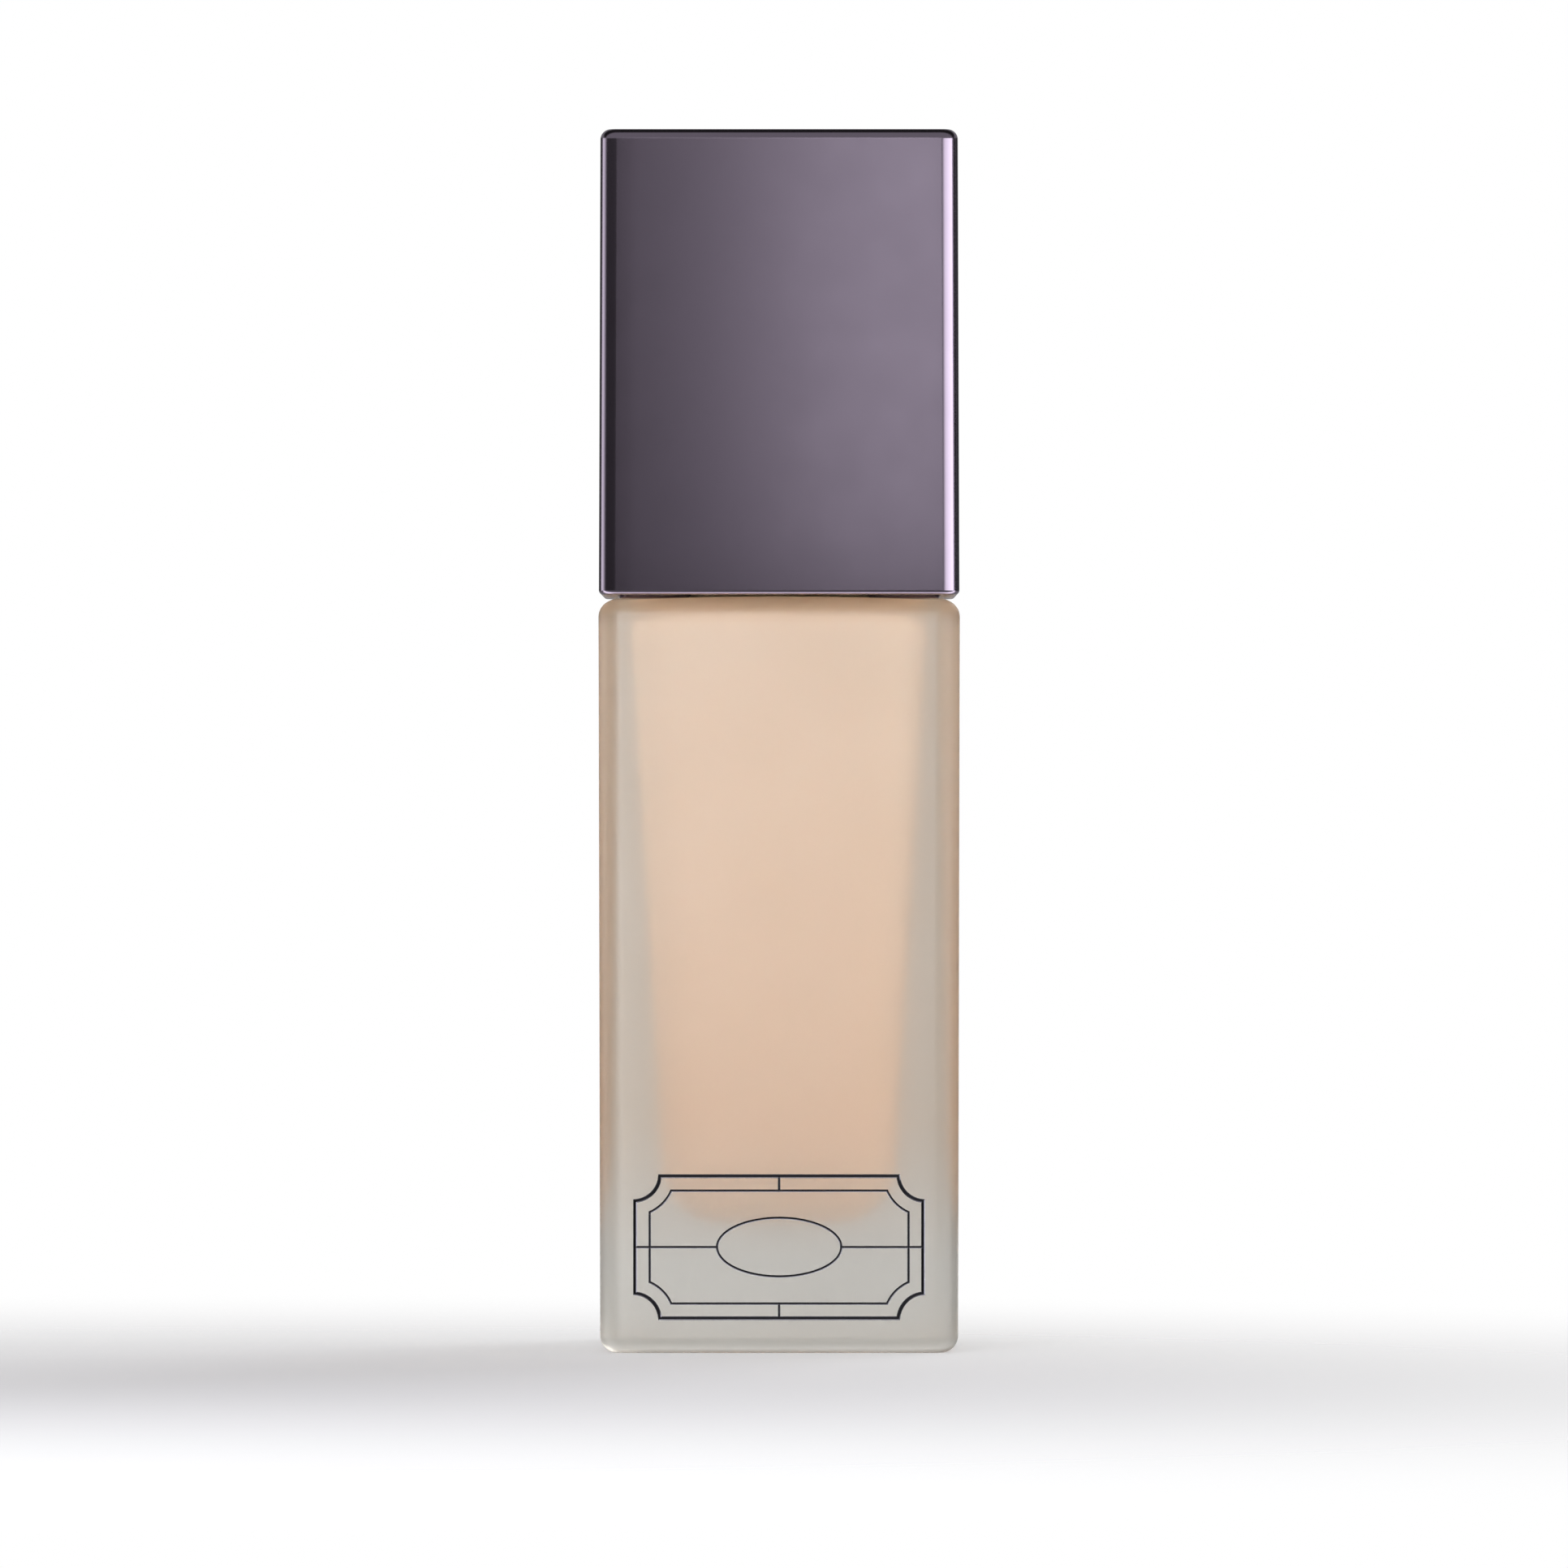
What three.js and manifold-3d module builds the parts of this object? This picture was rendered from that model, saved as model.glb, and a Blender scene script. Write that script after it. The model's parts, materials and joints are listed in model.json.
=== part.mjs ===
// A foundation bottle: square frosted glass, a screw-on treatment pump and a square pull-off cap.
// Millimetres, +Z up. The origin is the centre of the base, on the surface that the bottle stands on.
// The front, with the foil ornament and the nozzle, faces -Y.
import * as THREE from 'three';
import { mergeVertices } from 'three/addons/utils/BufferGeometryUtils.js';
import Module from 'manifold-3d';

const wasm = await Module();
wasm.setup();

const pressGap = 0.1; // left between pieces that are pressed or clamped together
const roundSides = { large: 40, medium: 28, small: 20 }; // facets of turned pieces, by size
const arcSteps = 4; // facets of a quarter-round edge
const cornerSegments = 3; // an upright rounded corner gets twice as many facets, as every drawn arc does
const weldDistance = 1e-4; // points nearer than this are one point
const overcut = 1; // how far a cutting solid runs past the face it cuts, and a joined one into its host

const bottle = {
  half: 16, // half the width across the flats, at the shoulder
  heelHalf: 15.85, // the same at the base, less the mould's draft
  height: 66.8, // base to shoulder
  cornerRatio: 0.14, // radius of the upright edges, as a share of the half width
  edgeRadius: 1.5, // where the walls turn into the base and into the shoulder
  cavityFloor: 11.3, // the top of the heavy glass base
  cavityCeiling: 65.9,
  cavityFloorHalf: 10.1,
  cavityCeilingHalf: 13.3,
  cavityFloorRadius: 5,
  cavityCeilingRadius: 1.8,
  cavityCornerRatio: 0.35,
  pushUpHalf: 11, // a shallow recess under the base leaves a ring to stand on
  pushUpDepth: 0.5,
};

const neck = {
  radius: 7.8,
  boreRadius: 5.6,
  height: 9.4,
  chamfer: 0.5,
  beadRadius: 8.3,
  beadWidth: 1,
  beadAboveShoulder: 1,
};
const neckTop = bottle.height + neck.height;

const thread = {
  pitch: 3.175, // eight threads to the inch, as on small pump closures
  turns: 1.25,
  startAboveShoulder: 3.1,
  neckPathRadius: 7.75, // the neck's thread is a round bead along this radius
  neckBeadRadius: 1,
  neckSink: -0.85, // how far each end of the bead moves into the neck
  closurePathRadius: 9.1,
  closureBeadRadius: 0.75,
  closureSink: 0.65,
  fade: 0.14, // the share of the length over which each end sinks into its wall
  sides: 8,
};

const fill = { wallGap: 0.15, pumpGap: 0.4 };

const ornament = { // a plain plaque outline with an oval, in foil on the front face
  halfWidth: 12.9,
  halfHeight: 6.45,
  centreHeight: 9.4,
  notch: 2.2, // radius of the scooped corners
  outerLine: 0.34,
  innerInset: 1.35,
  innerLine: 0.22,
  ovalHalfWidth: 5.6,
  ovalHalfHeight: 2.7,
  front: 15.98, // how far the foil's face stands in front of the axis
  thickness: 0.07,
};

// Pump heights are measured from the neck's top edge.
const gasket = { bottom: 0.1, top: 0.9, innerRadius: 5.2, outerRadius: 7.7 };

const housing = {
  flangeRadius: 7.6,
  flangeBottom: 1,
  flangeTop: 1.9,
  barrelRadius: 4.6,
  boreRadius: 3.4,
  springSeat: -15.7,
  chamberRadius: 1.75, // holds the inlet ball
  lipRadius: 1.25, // keeps the ball in
  lipBottom: -16.7,
  lipTop: -16.1,
  lipChamfer: 0.3,
  seatTop: -19.1,
  seatBottom: -19.9,
  portRadius: 0.9,
  socketTop: -20.9, // the dip tube is pushed up to here
  bottom: -26.7,
  spigotRadius: 2.5,
  coneBottom: -20.2,
  ventRadius: 0.5,
  ventHeight: -2.4,
};

const dipTube = { radius: 1.65, boreRadius: 1.05, bottom: -63.2, slantDegrees: 40 };
const inletBall = { radius: 1.4, height: -18.76 };
const outletBall = { radius: 1.15, height: 11.7 };

const spring = {
  wireRadius: 0.28,
  coilRadius: 2.45,
  bottom: -15.3,
  top: -6.45,
  turns: 7.5,
  closedTurns: 1, // nearly touching turns at each end
  closedPitch: 0.68,
  stepsPerTurn: 12,
  sides: 6,
};

const lowerStem = {
  boreRadius: 0.6,
  rodRadius: 1.3,
  rodTop: 0.8,
  seatRadius: 3,
  seatBottom: -6.05,
  seatTop: -5.15,
  guideRadius: 1.85,
  guideBottom: -7.9,
};

const piston = {
  boreRadius: 1.45,
  lipRadius: 3.27,
  edgeRadius: 3.1,
  waistRadius: 2.7,
  bottom: -5.05,
  top: -1.9,
};

const upperStem = {
  radius: 2.55,
  bottom: -1.8,
  socketRadius: 1.4,
  socketTop: 0.95,
  boreRadius: 0.8,
  seatBottom: 10.8,
  seatTop: 11.4,
  chamberRadius: 1.45,
  top: 15.3,
  chamfer: 0.3,
};

const chaplet = { // the ring that closes the housing and guides the stem
  boreRadius: 2.75,
  skirtRadius: 3.25,
  bottom: -1.75,
  flangeBottom: 2,
  flangeTop: 2.8,
  flangeRadius: 7.6,
  towerRadius: 4.4,
  top: 5.3,
  chamfer: 0.3,
};

const closure = { bottom: -8.7, top: 4.2, radius: 10.6, innerRadius: 9.05, topWall: 1.3, holeRadius: 5 };

const collar = {
  bottom: -8.9,
  radius: 11.1,
  innerRadius: 10.7,
  shoulder: 4.9,
  shoulderRadius: 0.8,
  grooveHeight: -5.6, // the cap's bead sits here
  grooveDepth: 0.12,
  grooveWidth: 1.4,
  towerRadius: 9.35,
  towerInnerRadius: 8.85,
  towerTop: 10.8,
  towerEdge: 0.35,
};

// Actuator heights are measured from the bottom of its skirt.
const actuator = {
  skirtAboveNeck: 9.3,
  radius: 8.2,
  top: 13,
  recessInnerRadius: 4.2,
  recessOuterRadius: 7.2,
  recessTop: 7,
  bossBottom: 0.8,
  socketRadius: 2.65,
  socketTop: 6.2,
  channelRadius: 1,
  channelHeight: 8.5,
  pinRadius: 0.45, // limits the outlet ball's lift
  pinBottom: 4.4,
  pinRoot: 0.2, // how far the pin runs into the roof of the channel
  nozzleSeatRadius: 1.95,
  nozzleSeatDepth: 5.2,
};

const actuatorShell = {
  radius: 8.6,
  innerRadius: 8.3,
  bottom: 0.1,
  ceiling: 13.1,
  top: 14,
  edgeRadius: 0.8,
  dishDepth: 0.6,
  windowRadius: 2,
};

const nozzle = { radius: 1.85, boreRadius: 0.55, mouthRadius: 0.95, mouthDepth: 0.6, back: 5.3, front: 8.75 };

// Cap heights are measured from its bottom rim.
const cap = {
  bottom: 67.1,
  height: 41.2,
  rimHalf: 15.96,
  topHalf: 15.82,
  cornerRatio: 0.094,
  rimRadius: 0.4,
  topRadius: 0.9,
  innerHalf: 14.4,
  innerHeight: 39.6,
  innerCornerRatio: 0.08,
};

const liner = {
  bottom: 0.4,
  boreRadius: 11.5,
  radius: 12.6,
  ceiling: 38.3,
  top: 39.3,
  flangeHalf: 14.25,
  flangeTop: 1.8,
  webThickness: 1.1,
  diagonalReach: 19.4,
  beadRadius: 11.32,
  beadHeight: 3.6,
  beadWidth: 1.2,
};

// A closed geometry as a solid that can be joined and cut.
function solid(geometry) {
  geometry.deleteAttribute('normal');
  geometry.deleteAttribute('uv');
  const merged = mergeVertices(geometry, weldDistance);
  const index = merged.index.array;
  const triVerts = [];
  for (let i = 0; i < index.length; i += 3) {
    const [a, b, c] = index.slice(i, i + 3);
    const hasArea = a !== b && b !== c && c !== a;
    if (hasArea) {
      triVerts.push(a, b, c);
    }
  }
  return new wasm.Manifold(
    new wasm.Mesh({
      numProp: 3,
      vertProperties: merged.attributes.position.array,
      triVerts: new Uint32Array(triVerts),
    }),
  );
}

// A solid as a named mesh.
function piece(name, shape, material) {
  const { vertProperties, triVerts } = shape.getMesh();
  const geometry = new THREE.BufferGeometry();
  geometry.setAttribute('position', new THREE.BufferAttribute(vertProperties, 3));
  geometry.setIndex(new THREE.BufferAttribute(triVerts, 1));
  geometry.computeVertexNormals();
  const mesh = new THREE.Mesh(geometry, material);
  mesh.name = name;
  return mesh;
}

// A turned solid about the Z axis. The profile is [radius, height] points with the material on the left.
function turned(profile, sides) {
  const points = profile.map(([radius, height]) => new THREE.Vector2(radius, height));
  const closesOnAxis = points[0].x === 0 && points.at(-1).x === 0;
  if (!closesOnAxis) {
    points.push(points[0].clone());
  }
  const geometry = new THREE.LatheGeometry(points, sides);
  geometry.rotateX(Math.PI / 2);
  return solid(geometry);
}

function rod(radius, bottom, top, sides = roundSides.small) {
  const profile = [
    [0, bottom],
    [radius, bottom],
    [radius, top],
    [0, top],
  ];
  return turned(profile, sides);
}

function tube(innerRadius, outerRadius, bottom, top, sides) {
  const profile = [
    [innerRadius, bottom],
    [outerRadius, bottom],
    [outerRadius, top],
    [innerRadius, top],
  ];
  return turned(profile, sides);
}

// Points of a quarter-round, from one angle to another about a centre, in degrees.
function quarterRound([centreRadius, centreHeight], radius, from, to) {
  const points = [];
  for (let i = 0; i <= arcSteps; i += 1) {
    const angle = THREE.MathUtils.degToRad(from + ((to - from) * i) / arcSteps);
    points.push([centreRadius + radius * Math.cos(angle), centreHeight + radius * Math.sin(angle)]);
  }
  return points;
}

function box([width, depth, height], [x, y, z]) {
  const geometry = new THREE.BoxGeometry(width, depth, height);
  geometry.translate(x, y, z);
  return solid(geometry);
}

// A square with rounded corners and a half width of 1.
function unitSquare(cornerRatio) {
  const flat = 1 - cornerRatio;
  const shape = new THREE.Shape();
  const quarter = Math.PI / 2;
  const corners = [
    [flat, flat],
    [-flat, flat],
    [-flat, -flat],
    [flat, -flat],
  ];
  corners.forEach(([x, y], i) => shape.absarc(x, y, cornerRatio, i * quarter, (i + 1) * quarter));
  shape.closePath();
  return shape;
}

// Heights and half widths up a square block with leaning walls and rounded end edges.
function blockRings({ bottom, top, bottomHalf, topHalf, bottomRadius = 0, topRadius = 0 }) {
  const halfAt = (z) => bottomHalf + ((topHalf - bottomHalf) * (z - bottom)) / (top - bottom);
  const edge = (end, inward, radius) => {
    const steps = radius > 0 ? arcSteps : 0;
    const rings = [];
    for (let i = 0; i <= steps; i += 1) {
      const angle = steps > 0 ? ((i / steps) * Math.PI) / 2 : 0;
      const z = end + inward * radius * (1 - Math.cos(angle));
      rings.push({ z, half: halfAt(z) - radius * (1 - Math.sin(angle)) });
    }
    return rings;
  };
  return [...edge(bottom, 1, bottomRadius), ...edge(top, -1, topRadius).reverse()];
}

// A square block through the rings: an extrusion whose layers take each ring's height and width.
function squareBlock(measures, cornerRatio) {
  const rings = blockRings(measures);
  const layers = rings.length - 1;
  const geometry = new THREE.ExtrudeGeometry(unitSquare(cornerRatio), {
    depth: layers,
    steps: layers,
    bevelEnabled: false,
    curveSegments: cornerSegments,
  });
  const position = geometry.attributes.position;
  for (let i = 0; i < position.count; i += 1) {
    const ring = rings[Math.round(position.getZ(i))];
    position.setXYZ(i, position.getX(i) * ring.half, position.getY(i) * ring.half, ring.z);
  }
  return solid(geometry);
}

class Helix extends THREE.Curve {
  constructor(turns, radiusAt, heightAt) {
    super();
    this.turns = turns;
    this.radiusAt = radiusAt;
    this.heightAt = heightAt;
    this.arcLengthDivisions = Math.ceil(turns * 100);
  }

  getPoint(t, target = new THREE.Vector3()) {
    const angle = 2 * Math.PI * this.turns * t;
    const radius = this.radiusAt(t);
    return target.set(radius * Math.cos(angle), radius * Math.sin(angle), this.heightAt(t));
  }
}

// A round bar along a helix.
function coiledBar(helix, barRadius, sides, steps) {
  const section = new THREE.Shape();
  section.absarc(0, 0, barRadius, 0, 2 * Math.PI);
  const geometry = new THREE.ExtrudeGeometry(section, {
    steps,
    curveSegments: sides / 2,
    bevelEnabled: false,
    extrudePath: helix,
  });
  return solid(geometry);
}

// A right-hand thread whose ends sink by `sink` into the wall that carries it.
function threadBead({ pathRadius, beadRadius, start, sink }) {
  const stepsPerTurn = 20;
  const rise = thread.pitch * thread.turns;
  const radiusAt = (t) => {
    const nearestEnd = Math.min(t, 1 - t) / thread.fade;
    return pathRadius + sink * Math.max(0, 1 - nearestEnd);
  };
  const helix = new Helix(thread.turns, radiusAt, (t) => start + rise * t);
  return coiledBar(helix, beadRadius, thread.sides, Math.round(thread.turns * stepsPerTurn));
}

function makeGlassBottle() {
  const outside = {
    bottom: 0,
    top: bottle.height,
    bottomHalf: bottle.heelHalf,
    topHalf: bottle.half,
    bottomRadius: bottle.edgeRadius,
    topRadius: bottle.edgeRadius,
  };
  const pushUp = {
    bottom: -overcut,
    top: bottle.pushUpDepth,
    bottomHalf: bottle.pushUpHalf + overcut + bottle.pushUpDepth,
    topHalf: bottle.pushUpHalf,
  };
  const root = bottle.height - overcut;
  const beadBottom = bottle.height + neck.beadAboveShoulder;
  const neckProfile = [
    [0, root],
    [neck.radius, root],
    [neck.radius, beadBottom],
    [neck.beadRadius, beadBottom + neck.beadWidth / 2],
    [neck.radius, beadBottom + neck.beadWidth],
    [neck.radius, neckTop - neck.chamfer],
    [neck.radius - neck.chamfer, neckTop],
    [0, neckTop],
  ];
  const bead = threadBead({
    pathRadius: thread.neckPathRadius,
    beadRadius: thread.neckBeadRadius,
    start: bottle.height + thread.startAboveShoulder,
    sink: thread.neckSink,
  });
  return squareBlock(outside, bottle.cornerRatio)
    .add(turned(neckProfile, roundSides.large))
    .add(bead)
    .subtract(squareBlock(cavityMeasures(0), bottle.cavityCornerRatio))
    .subtract(rod(neck.boreRadius, bottle.cavityCeiling - overcut, neckTop + overcut, roundSides.large))
    .subtract(squareBlock(pushUp, bottle.cornerRatio));
}

// The space inside the glass, made smaller all round by an inset.
function cavityMeasures(inset) {
  return {
    bottom: bottle.cavityFloor + inset,
    top: bottle.cavityCeiling - inset,
    bottomHalf: bottle.cavityFloorHalf - inset,
    topHalf: bottle.cavityCeilingHalf - inset,
    bottomRadius: bottle.cavityFloorRadius,
    topRadius: bottle.cavityCeilingRadius,
  };
}

// The liquid, with room for the pump housing and the dip tube.
function makeFoundationFill() {
  const gap = fill.pumpGap;
  const pumpOutline = [
    [0, neckTop + dipTube.bottom - gap],
    [dipTube.radius + gap, neckTop + dipTube.bottom - gap],
    [dipTube.radius + gap, neckTop + housing.bottom - gap],
    [housing.spigotRadius + gap, neckTop + housing.bottom - gap],
    [housing.spigotRadius + gap, neckTop + housing.coneBottom - gap],
    [housing.barrelRadius + gap, neckTop + housing.springSeat - gap],
    [housing.barrelRadius + gap, neckTop],
    [0, neckTop],
  ];
  return squareBlock(cavityMeasures(fill.wallGap), bottle.cavityCornerRatio)
    .subtract(turned(pumpOutline, roundSides.small));
}

// The plaque's outline, moved inwards by an inset, with corners scooped out by arcs.
function plaqueShape(inset) {
  const { halfWidth, halfHeight, notch } = ornament;
  const scoop = notch + inset;
  const lead = Math.asin(inset / scoop);
  const quarter = Math.PI / 2;
  const corners = [
    [halfWidth, halfHeight],
    [-halfWidth, halfHeight],
    [-halfWidth, -halfHeight],
    [halfWidth, -halfHeight],
  ];
  const shape = new THREE.Shape();
  corners.forEach(([x, y], i) => {
    const first = (i + 3) * quarter - lead;
    const last = (i + 2) * quarter + lead;
    shape.absarc(x, y, scoop, first, last, true);
  });
  shape.closePath();
  return shape;
}

function ovalShape(inset) {
  const shape = new THREE.Shape();
  const quarter = Math.PI / 2;
  for (let i = 0; i < 4; i += 1) {
    const halfWidth = ornament.ovalHalfWidth - inset;
    shape.absellipse(0, 0, halfWidth, ornament.ovalHalfHeight - inset, i * quarter, (i + 1) * quarter);
  }
  return shape;
}

// A flat line between two outlines, as thick as the foil.
function foilLine(outer, inner) {
  outer.holes.push(inner);
  const geometry = new THREE.ExtrudeGeometry(outer, {
    depth: ornament.thickness,
    bevelEnabled: false,
    curveSegments: cornerSegments,
  });
  return solid(geometry);
}

function makeFoilOrnament() {
  const { halfWidth, halfHeight, innerInset, innerLine, outerLine, ovalHalfWidth, thickness } = ornament;
  const frames = foilLine(plaqueShape(0), plaqueShape(outerLine))
    .add(foilLine(plaqueShape(innerInset), plaqueShape(innerInset + innerLine)))
    .add(foilLine(ovalShape(0), ovalShape(innerLine)));
  const overlap = innerLine / 2;
  const sideBar = innerInset - outerLine + 2 * overlap;
  const ovalBar = halfWidth - innerInset - innerLine - ovalHalfWidth + 2 * overlap;
  let shape = frames;
  for (const side of [-1, 1]) {
    const barX = side * (halfWidth - outerLine + overlap - sideBar / 2);
    const barY = side * (halfHeight - outerLine + overlap - sideBar / 2);
    const ovalX = side * (ovalHalfWidth - overlap + ovalBar / 2);
    shape = shape
      .add(box([sideBar, innerLine, thickness], [barX, 0, thickness / 2]))
      .add(box([innerLine, sideBar, thickness], [0, barY, thickness / 2]))
      .add(box([ovalBar, innerLine, thickness], [ovalX, 0, thickness / 2]));
  }
  return shape;
}

function makePumpHousing() {
  const profile = [
    [housing.chamberRadius, housing.bottom],
    [housing.spigotRadius, housing.bottom],
    [housing.spigotRadius, housing.coneBottom],
    [housing.barrelRadius, housing.springSeat],
    [housing.barrelRadius, housing.flangeBottom],
    [housing.flangeRadius, housing.flangeBottom],
    [housing.flangeRadius, housing.flangeTop],
    [housing.boreRadius, housing.flangeTop],
    [housing.boreRadius, housing.springSeat],
    [housing.lipRadius, housing.lipTop],
    [housing.lipRadius, housing.lipBottom],
    [housing.chamberRadius, housing.lipBottom - housing.lipChamfer],
    [housing.chamberRadius, housing.seatTop],
    [housing.portRadius, housing.seatBottom],
    [housing.portRadius, housing.socketTop],
    [housing.chamberRadius, housing.socketTop],
  ];
  const vent = rod(housing.ventRadius, 0, housing.flangeRadius, roundSides.small / 2)
    .rotate([0, 90, 0])
    .translate([0, 0, housing.ventHeight]);
  return turned(profile, roundSides.medium).subtract(vent);
}

// The dip tube, with its foot cut on the slant so that it can't seal itself against the glass.
function makeDipTube() {
  const top = housing.socketTop - pressGap;
  const length = top - dipTube.bottom;
  const cutter = box([length, length, length], [0, 0, -length / 2])
    .rotate([0, -dipTube.slantDegrees, 0])
    .translate([-dipTube.radius, 0, dipTube.bottom]);
  return tube(dipTube.boreRadius, dipTube.radius, dipTube.bottom, top, roundSides.small).subtract(cutter);
}

function makeBall({ radius }) {
  return solid(new THREE.SphereGeometry(radius, roundSides.small / 2 + 4, roundSides.small / 2));
}

// The return spring: closed turns at both ends, evenly open turns between them.
function makeReturnSpring() {
  const { bottom, top, turns, closedTurns, closedPitch, stepsPerTurn } = spring;
  const closedRise = closedTurns * closedPitch;
  const openPitch = (top - bottom - 2 * closedRise) / (turns - 2 * closedTurns);
  const heightAt = (t) => {
    const turn = t * turns;
    if (turn < closedTurns) {
      return bottom + turn * closedPitch;
    }
    if (turn > turns - closedTurns) {
      return top - (turns - turn) * closedPitch;
    }
    return bottom + closedRise + (turn - closedTurns) * openPitch;
  };
  const helix = new Helix(turns, () => spring.coilRadius, heightAt);
  return coiledBar(helix, spring.wireRadius, spring.sides, Math.round(turns * stepsPerTurn));
}

function makeLowerStem() {
  const profile = [
    [lowerStem.boreRadius, lowerStem.guideBottom],
    [lowerStem.guideRadius, lowerStem.guideBottom],
    [lowerStem.guideRadius, lowerStem.seatBottom],
    [lowerStem.seatRadius, lowerStem.seatBottom],
    [lowerStem.seatRadius, lowerStem.seatTop],
    [lowerStem.rodRadius, lowerStem.seatTop],
    [lowerStem.rodRadius, lowerStem.rodTop],
    [lowerStem.boreRadius, lowerStem.rodTop],
  ];
  return turned(profile, roundSides.small);
}

// The piston: a waisted ring whose two lips wipe the housing's bore.
function makePiston() {
  const lipHeight = 0.35;
  const waistHeight = 1.05;
  const profile = [
    [piston.boreRadius, piston.bottom],
    [piston.edgeRadius, piston.bottom],
    [piston.lipRadius, piston.bottom + lipHeight],
    [piston.waistRadius, piston.bottom + waistHeight],
    [piston.waistRadius, piston.top - waistHeight],
    [piston.lipRadius, piston.top - lipHeight],
    [piston.edgeRadius, piston.top],
    [piston.boreRadius, piston.top],
  ];
  return turned(profile, roundSides.small);
}

function makeUpperStem() {
  const profile = [
    [upperStem.socketRadius, upperStem.bottom],
    [upperStem.radius, upperStem.bottom],
    [upperStem.radius, upperStem.top - upperStem.chamfer],
    [upperStem.radius - upperStem.chamfer, upperStem.top],
    [upperStem.chamberRadius, upperStem.top],
    [upperStem.chamberRadius, upperStem.seatTop],
    [upperStem.boreRadius, upperStem.seatBottom],
    [upperStem.boreRadius, upperStem.socketTop],
    [upperStem.socketRadius, upperStem.socketTop],
  ];
  return turned(profile, roundSides.small);
}

function makeChaplet() {
  const profile = [
    [chaplet.boreRadius, chaplet.bottom],
    [chaplet.skirtRadius, chaplet.bottom],
    [chaplet.skirtRadius, chaplet.flangeBottom],
    [chaplet.flangeRadius, chaplet.flangeBottom],
    [chaplet.flangeRadius, chaplet.flangeTop],
    [chaplet.towerRadius, chaplet.flangeTop],
    [chaplet.towerRadius, chaplet.top - chaplet.chamfer],
    [chaplet.towerRadius - chaplet.chamfer, chaplet.top],
    [chaplet.boreRadius, chaplet.top],
  ];
  return turned(profile, roundSides.medium);
}

// The closure's thread runs half a pitch below the neck's, so it bears on its underside.
function makeScrewClosure() {
  const underTop = closure.top - closure.topWall;
  const profile = [
    [closure.innerRadius, closure.bottom],
    [closure.radius, closure.bottom],
    [closure.radius, closure.top],
    [closure.holeRadius, closure.top],
    [closure.holeRadius, underTop],
    [closure.innerRadius, underTop],
  ];
  const bead = threadBead({
    pathRadius: thread.closurePathRadius,
    beadRadius: thread.closureBeadRadius,
    start: thread.startAboveShoulder - neck.height - thread.pitch / 2,
    sink: thread.closureSink,
  });
  return turned(profile, roundSides.large).add(bead);
}

function makeCollarShell() {
  const { radius, shoulder, shoulderRadius, grooveHeight, grooveDepth, grooveWidth } = collar;
  const profile = [
    [collar.innerRadius, collar.bottom],
    [radius, collar.bottom],
    [radius, grooveHeight - grooveWidth / 2],
    [radius - grooveDepth, grooveHeight],
    [radius, grooveHeight + grooveWidth / 2],
    ...quarterRound([radius - shoulderRadius, shoulder - shoulderRadius], shoulderRadius, 0, 90),
    [collar.towerRadius, shoulder],
    [collar.towerRadius, collar.towerTop - collar.towerEdge],
    [collar.towerRadius - collar.towerEdge, collar.towerTop],
    [collar.towerInnerRadius, collar.towerTop],
    [collar.towerInnerRadius, closure.top + pressGap],
    [collar.innerRadius, closure.top + pressGap],
  ];
  return turned(profile, roundSides.large);
}

// A rod that runs out to the front, along -Y, at a height.
function frontRod(radius, back, front, height) {
  return rod(radius, back, front).rotate([90, 0, 0]).translate([0, 0, height]);
}

function makeActuatorBody() {
  const { channelRadius, channelHeight, recessTop, socketTop, radius } = actuator;
  const recess = tube(
    actuator.recessInnerRadius,
    actuator.recessOuterRadius,
    -overcut,
    recessTop,
    roundSides.medium,
  );
  const pin = rod(actuator.pinRadius, actuator.pinBottom, channelHeight + channelRadius + actuator.pinRoot);
  return rod(radius, 0, actuator.top, roundSides.large)
    .subtract(recess)
    .subtract(rod(actuator.recessInnerRadius + pressGap, -overcut, actuator.bossBottom, roundSides.medium))
    .subtract(rod(actuator.socketRadius, 0, socketTop))
    .subtract(rod(channelRadius, socketTop - pressGap, channelHeight))
    .subtract(frontRod(channelRadius, -channelRadius, radius + overcut, channelHeight))
    .subtract(frontRod(actuator.nozzleSeatRadius, actuator.nozzleSeatDepth, radius + overcut, channelHeight))
    .add(pin);
}

// The actuator's cover, dished on top for a fingertip, with a window for the nozzle.
function makeActuatorShell() {
  const { radius, innerRadius, bottom, ceiling, top, edgeRadius, dishDepth } = actuatorShell;
  const dishSteps = 5;
  const dish = [];
  for (let i = 1; i <= dishSteps; i += 1) {
    const share = 1 - i / dishSteps;
    dish.push([(radius - edgeRadius) * share, top - dishDepth * (1 - share * share)]);
  }
  const profile = [
    [0, ceiling],
    [innerRadius, ceiling],
    [innerRadius, bottom],
    [radius, bottom],
    ...quarterRound([radius - edgeRadius, top - edgeRadius], edgeRadius, 0, 90),
    ...dish,
  ];
  const window = frontRod(
    actuatorShell.windowRadius,
    innerRadius - overcut,
    radius + overcut,
    actuator.channelHeight,
  );
  return turned(profile, roundSides.large).subtract(window);
}

// The nozzle, drawn upright: its mouth opens out at the top.
function makeNozzleInsert() {
  const profile = [
    [nozzle.boreRadius, nozzle.back],
    [nozzle.radius, nozzle.back],
    [nozzle.radius, nozzle.front],
    [nozzle.mouthRadius, nozzle.front],
    [nozzle.boreRadius, nozzle.front - nozzle.mouthDepth],
  ];
  return turned(profile, roundSides.small);
}

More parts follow.
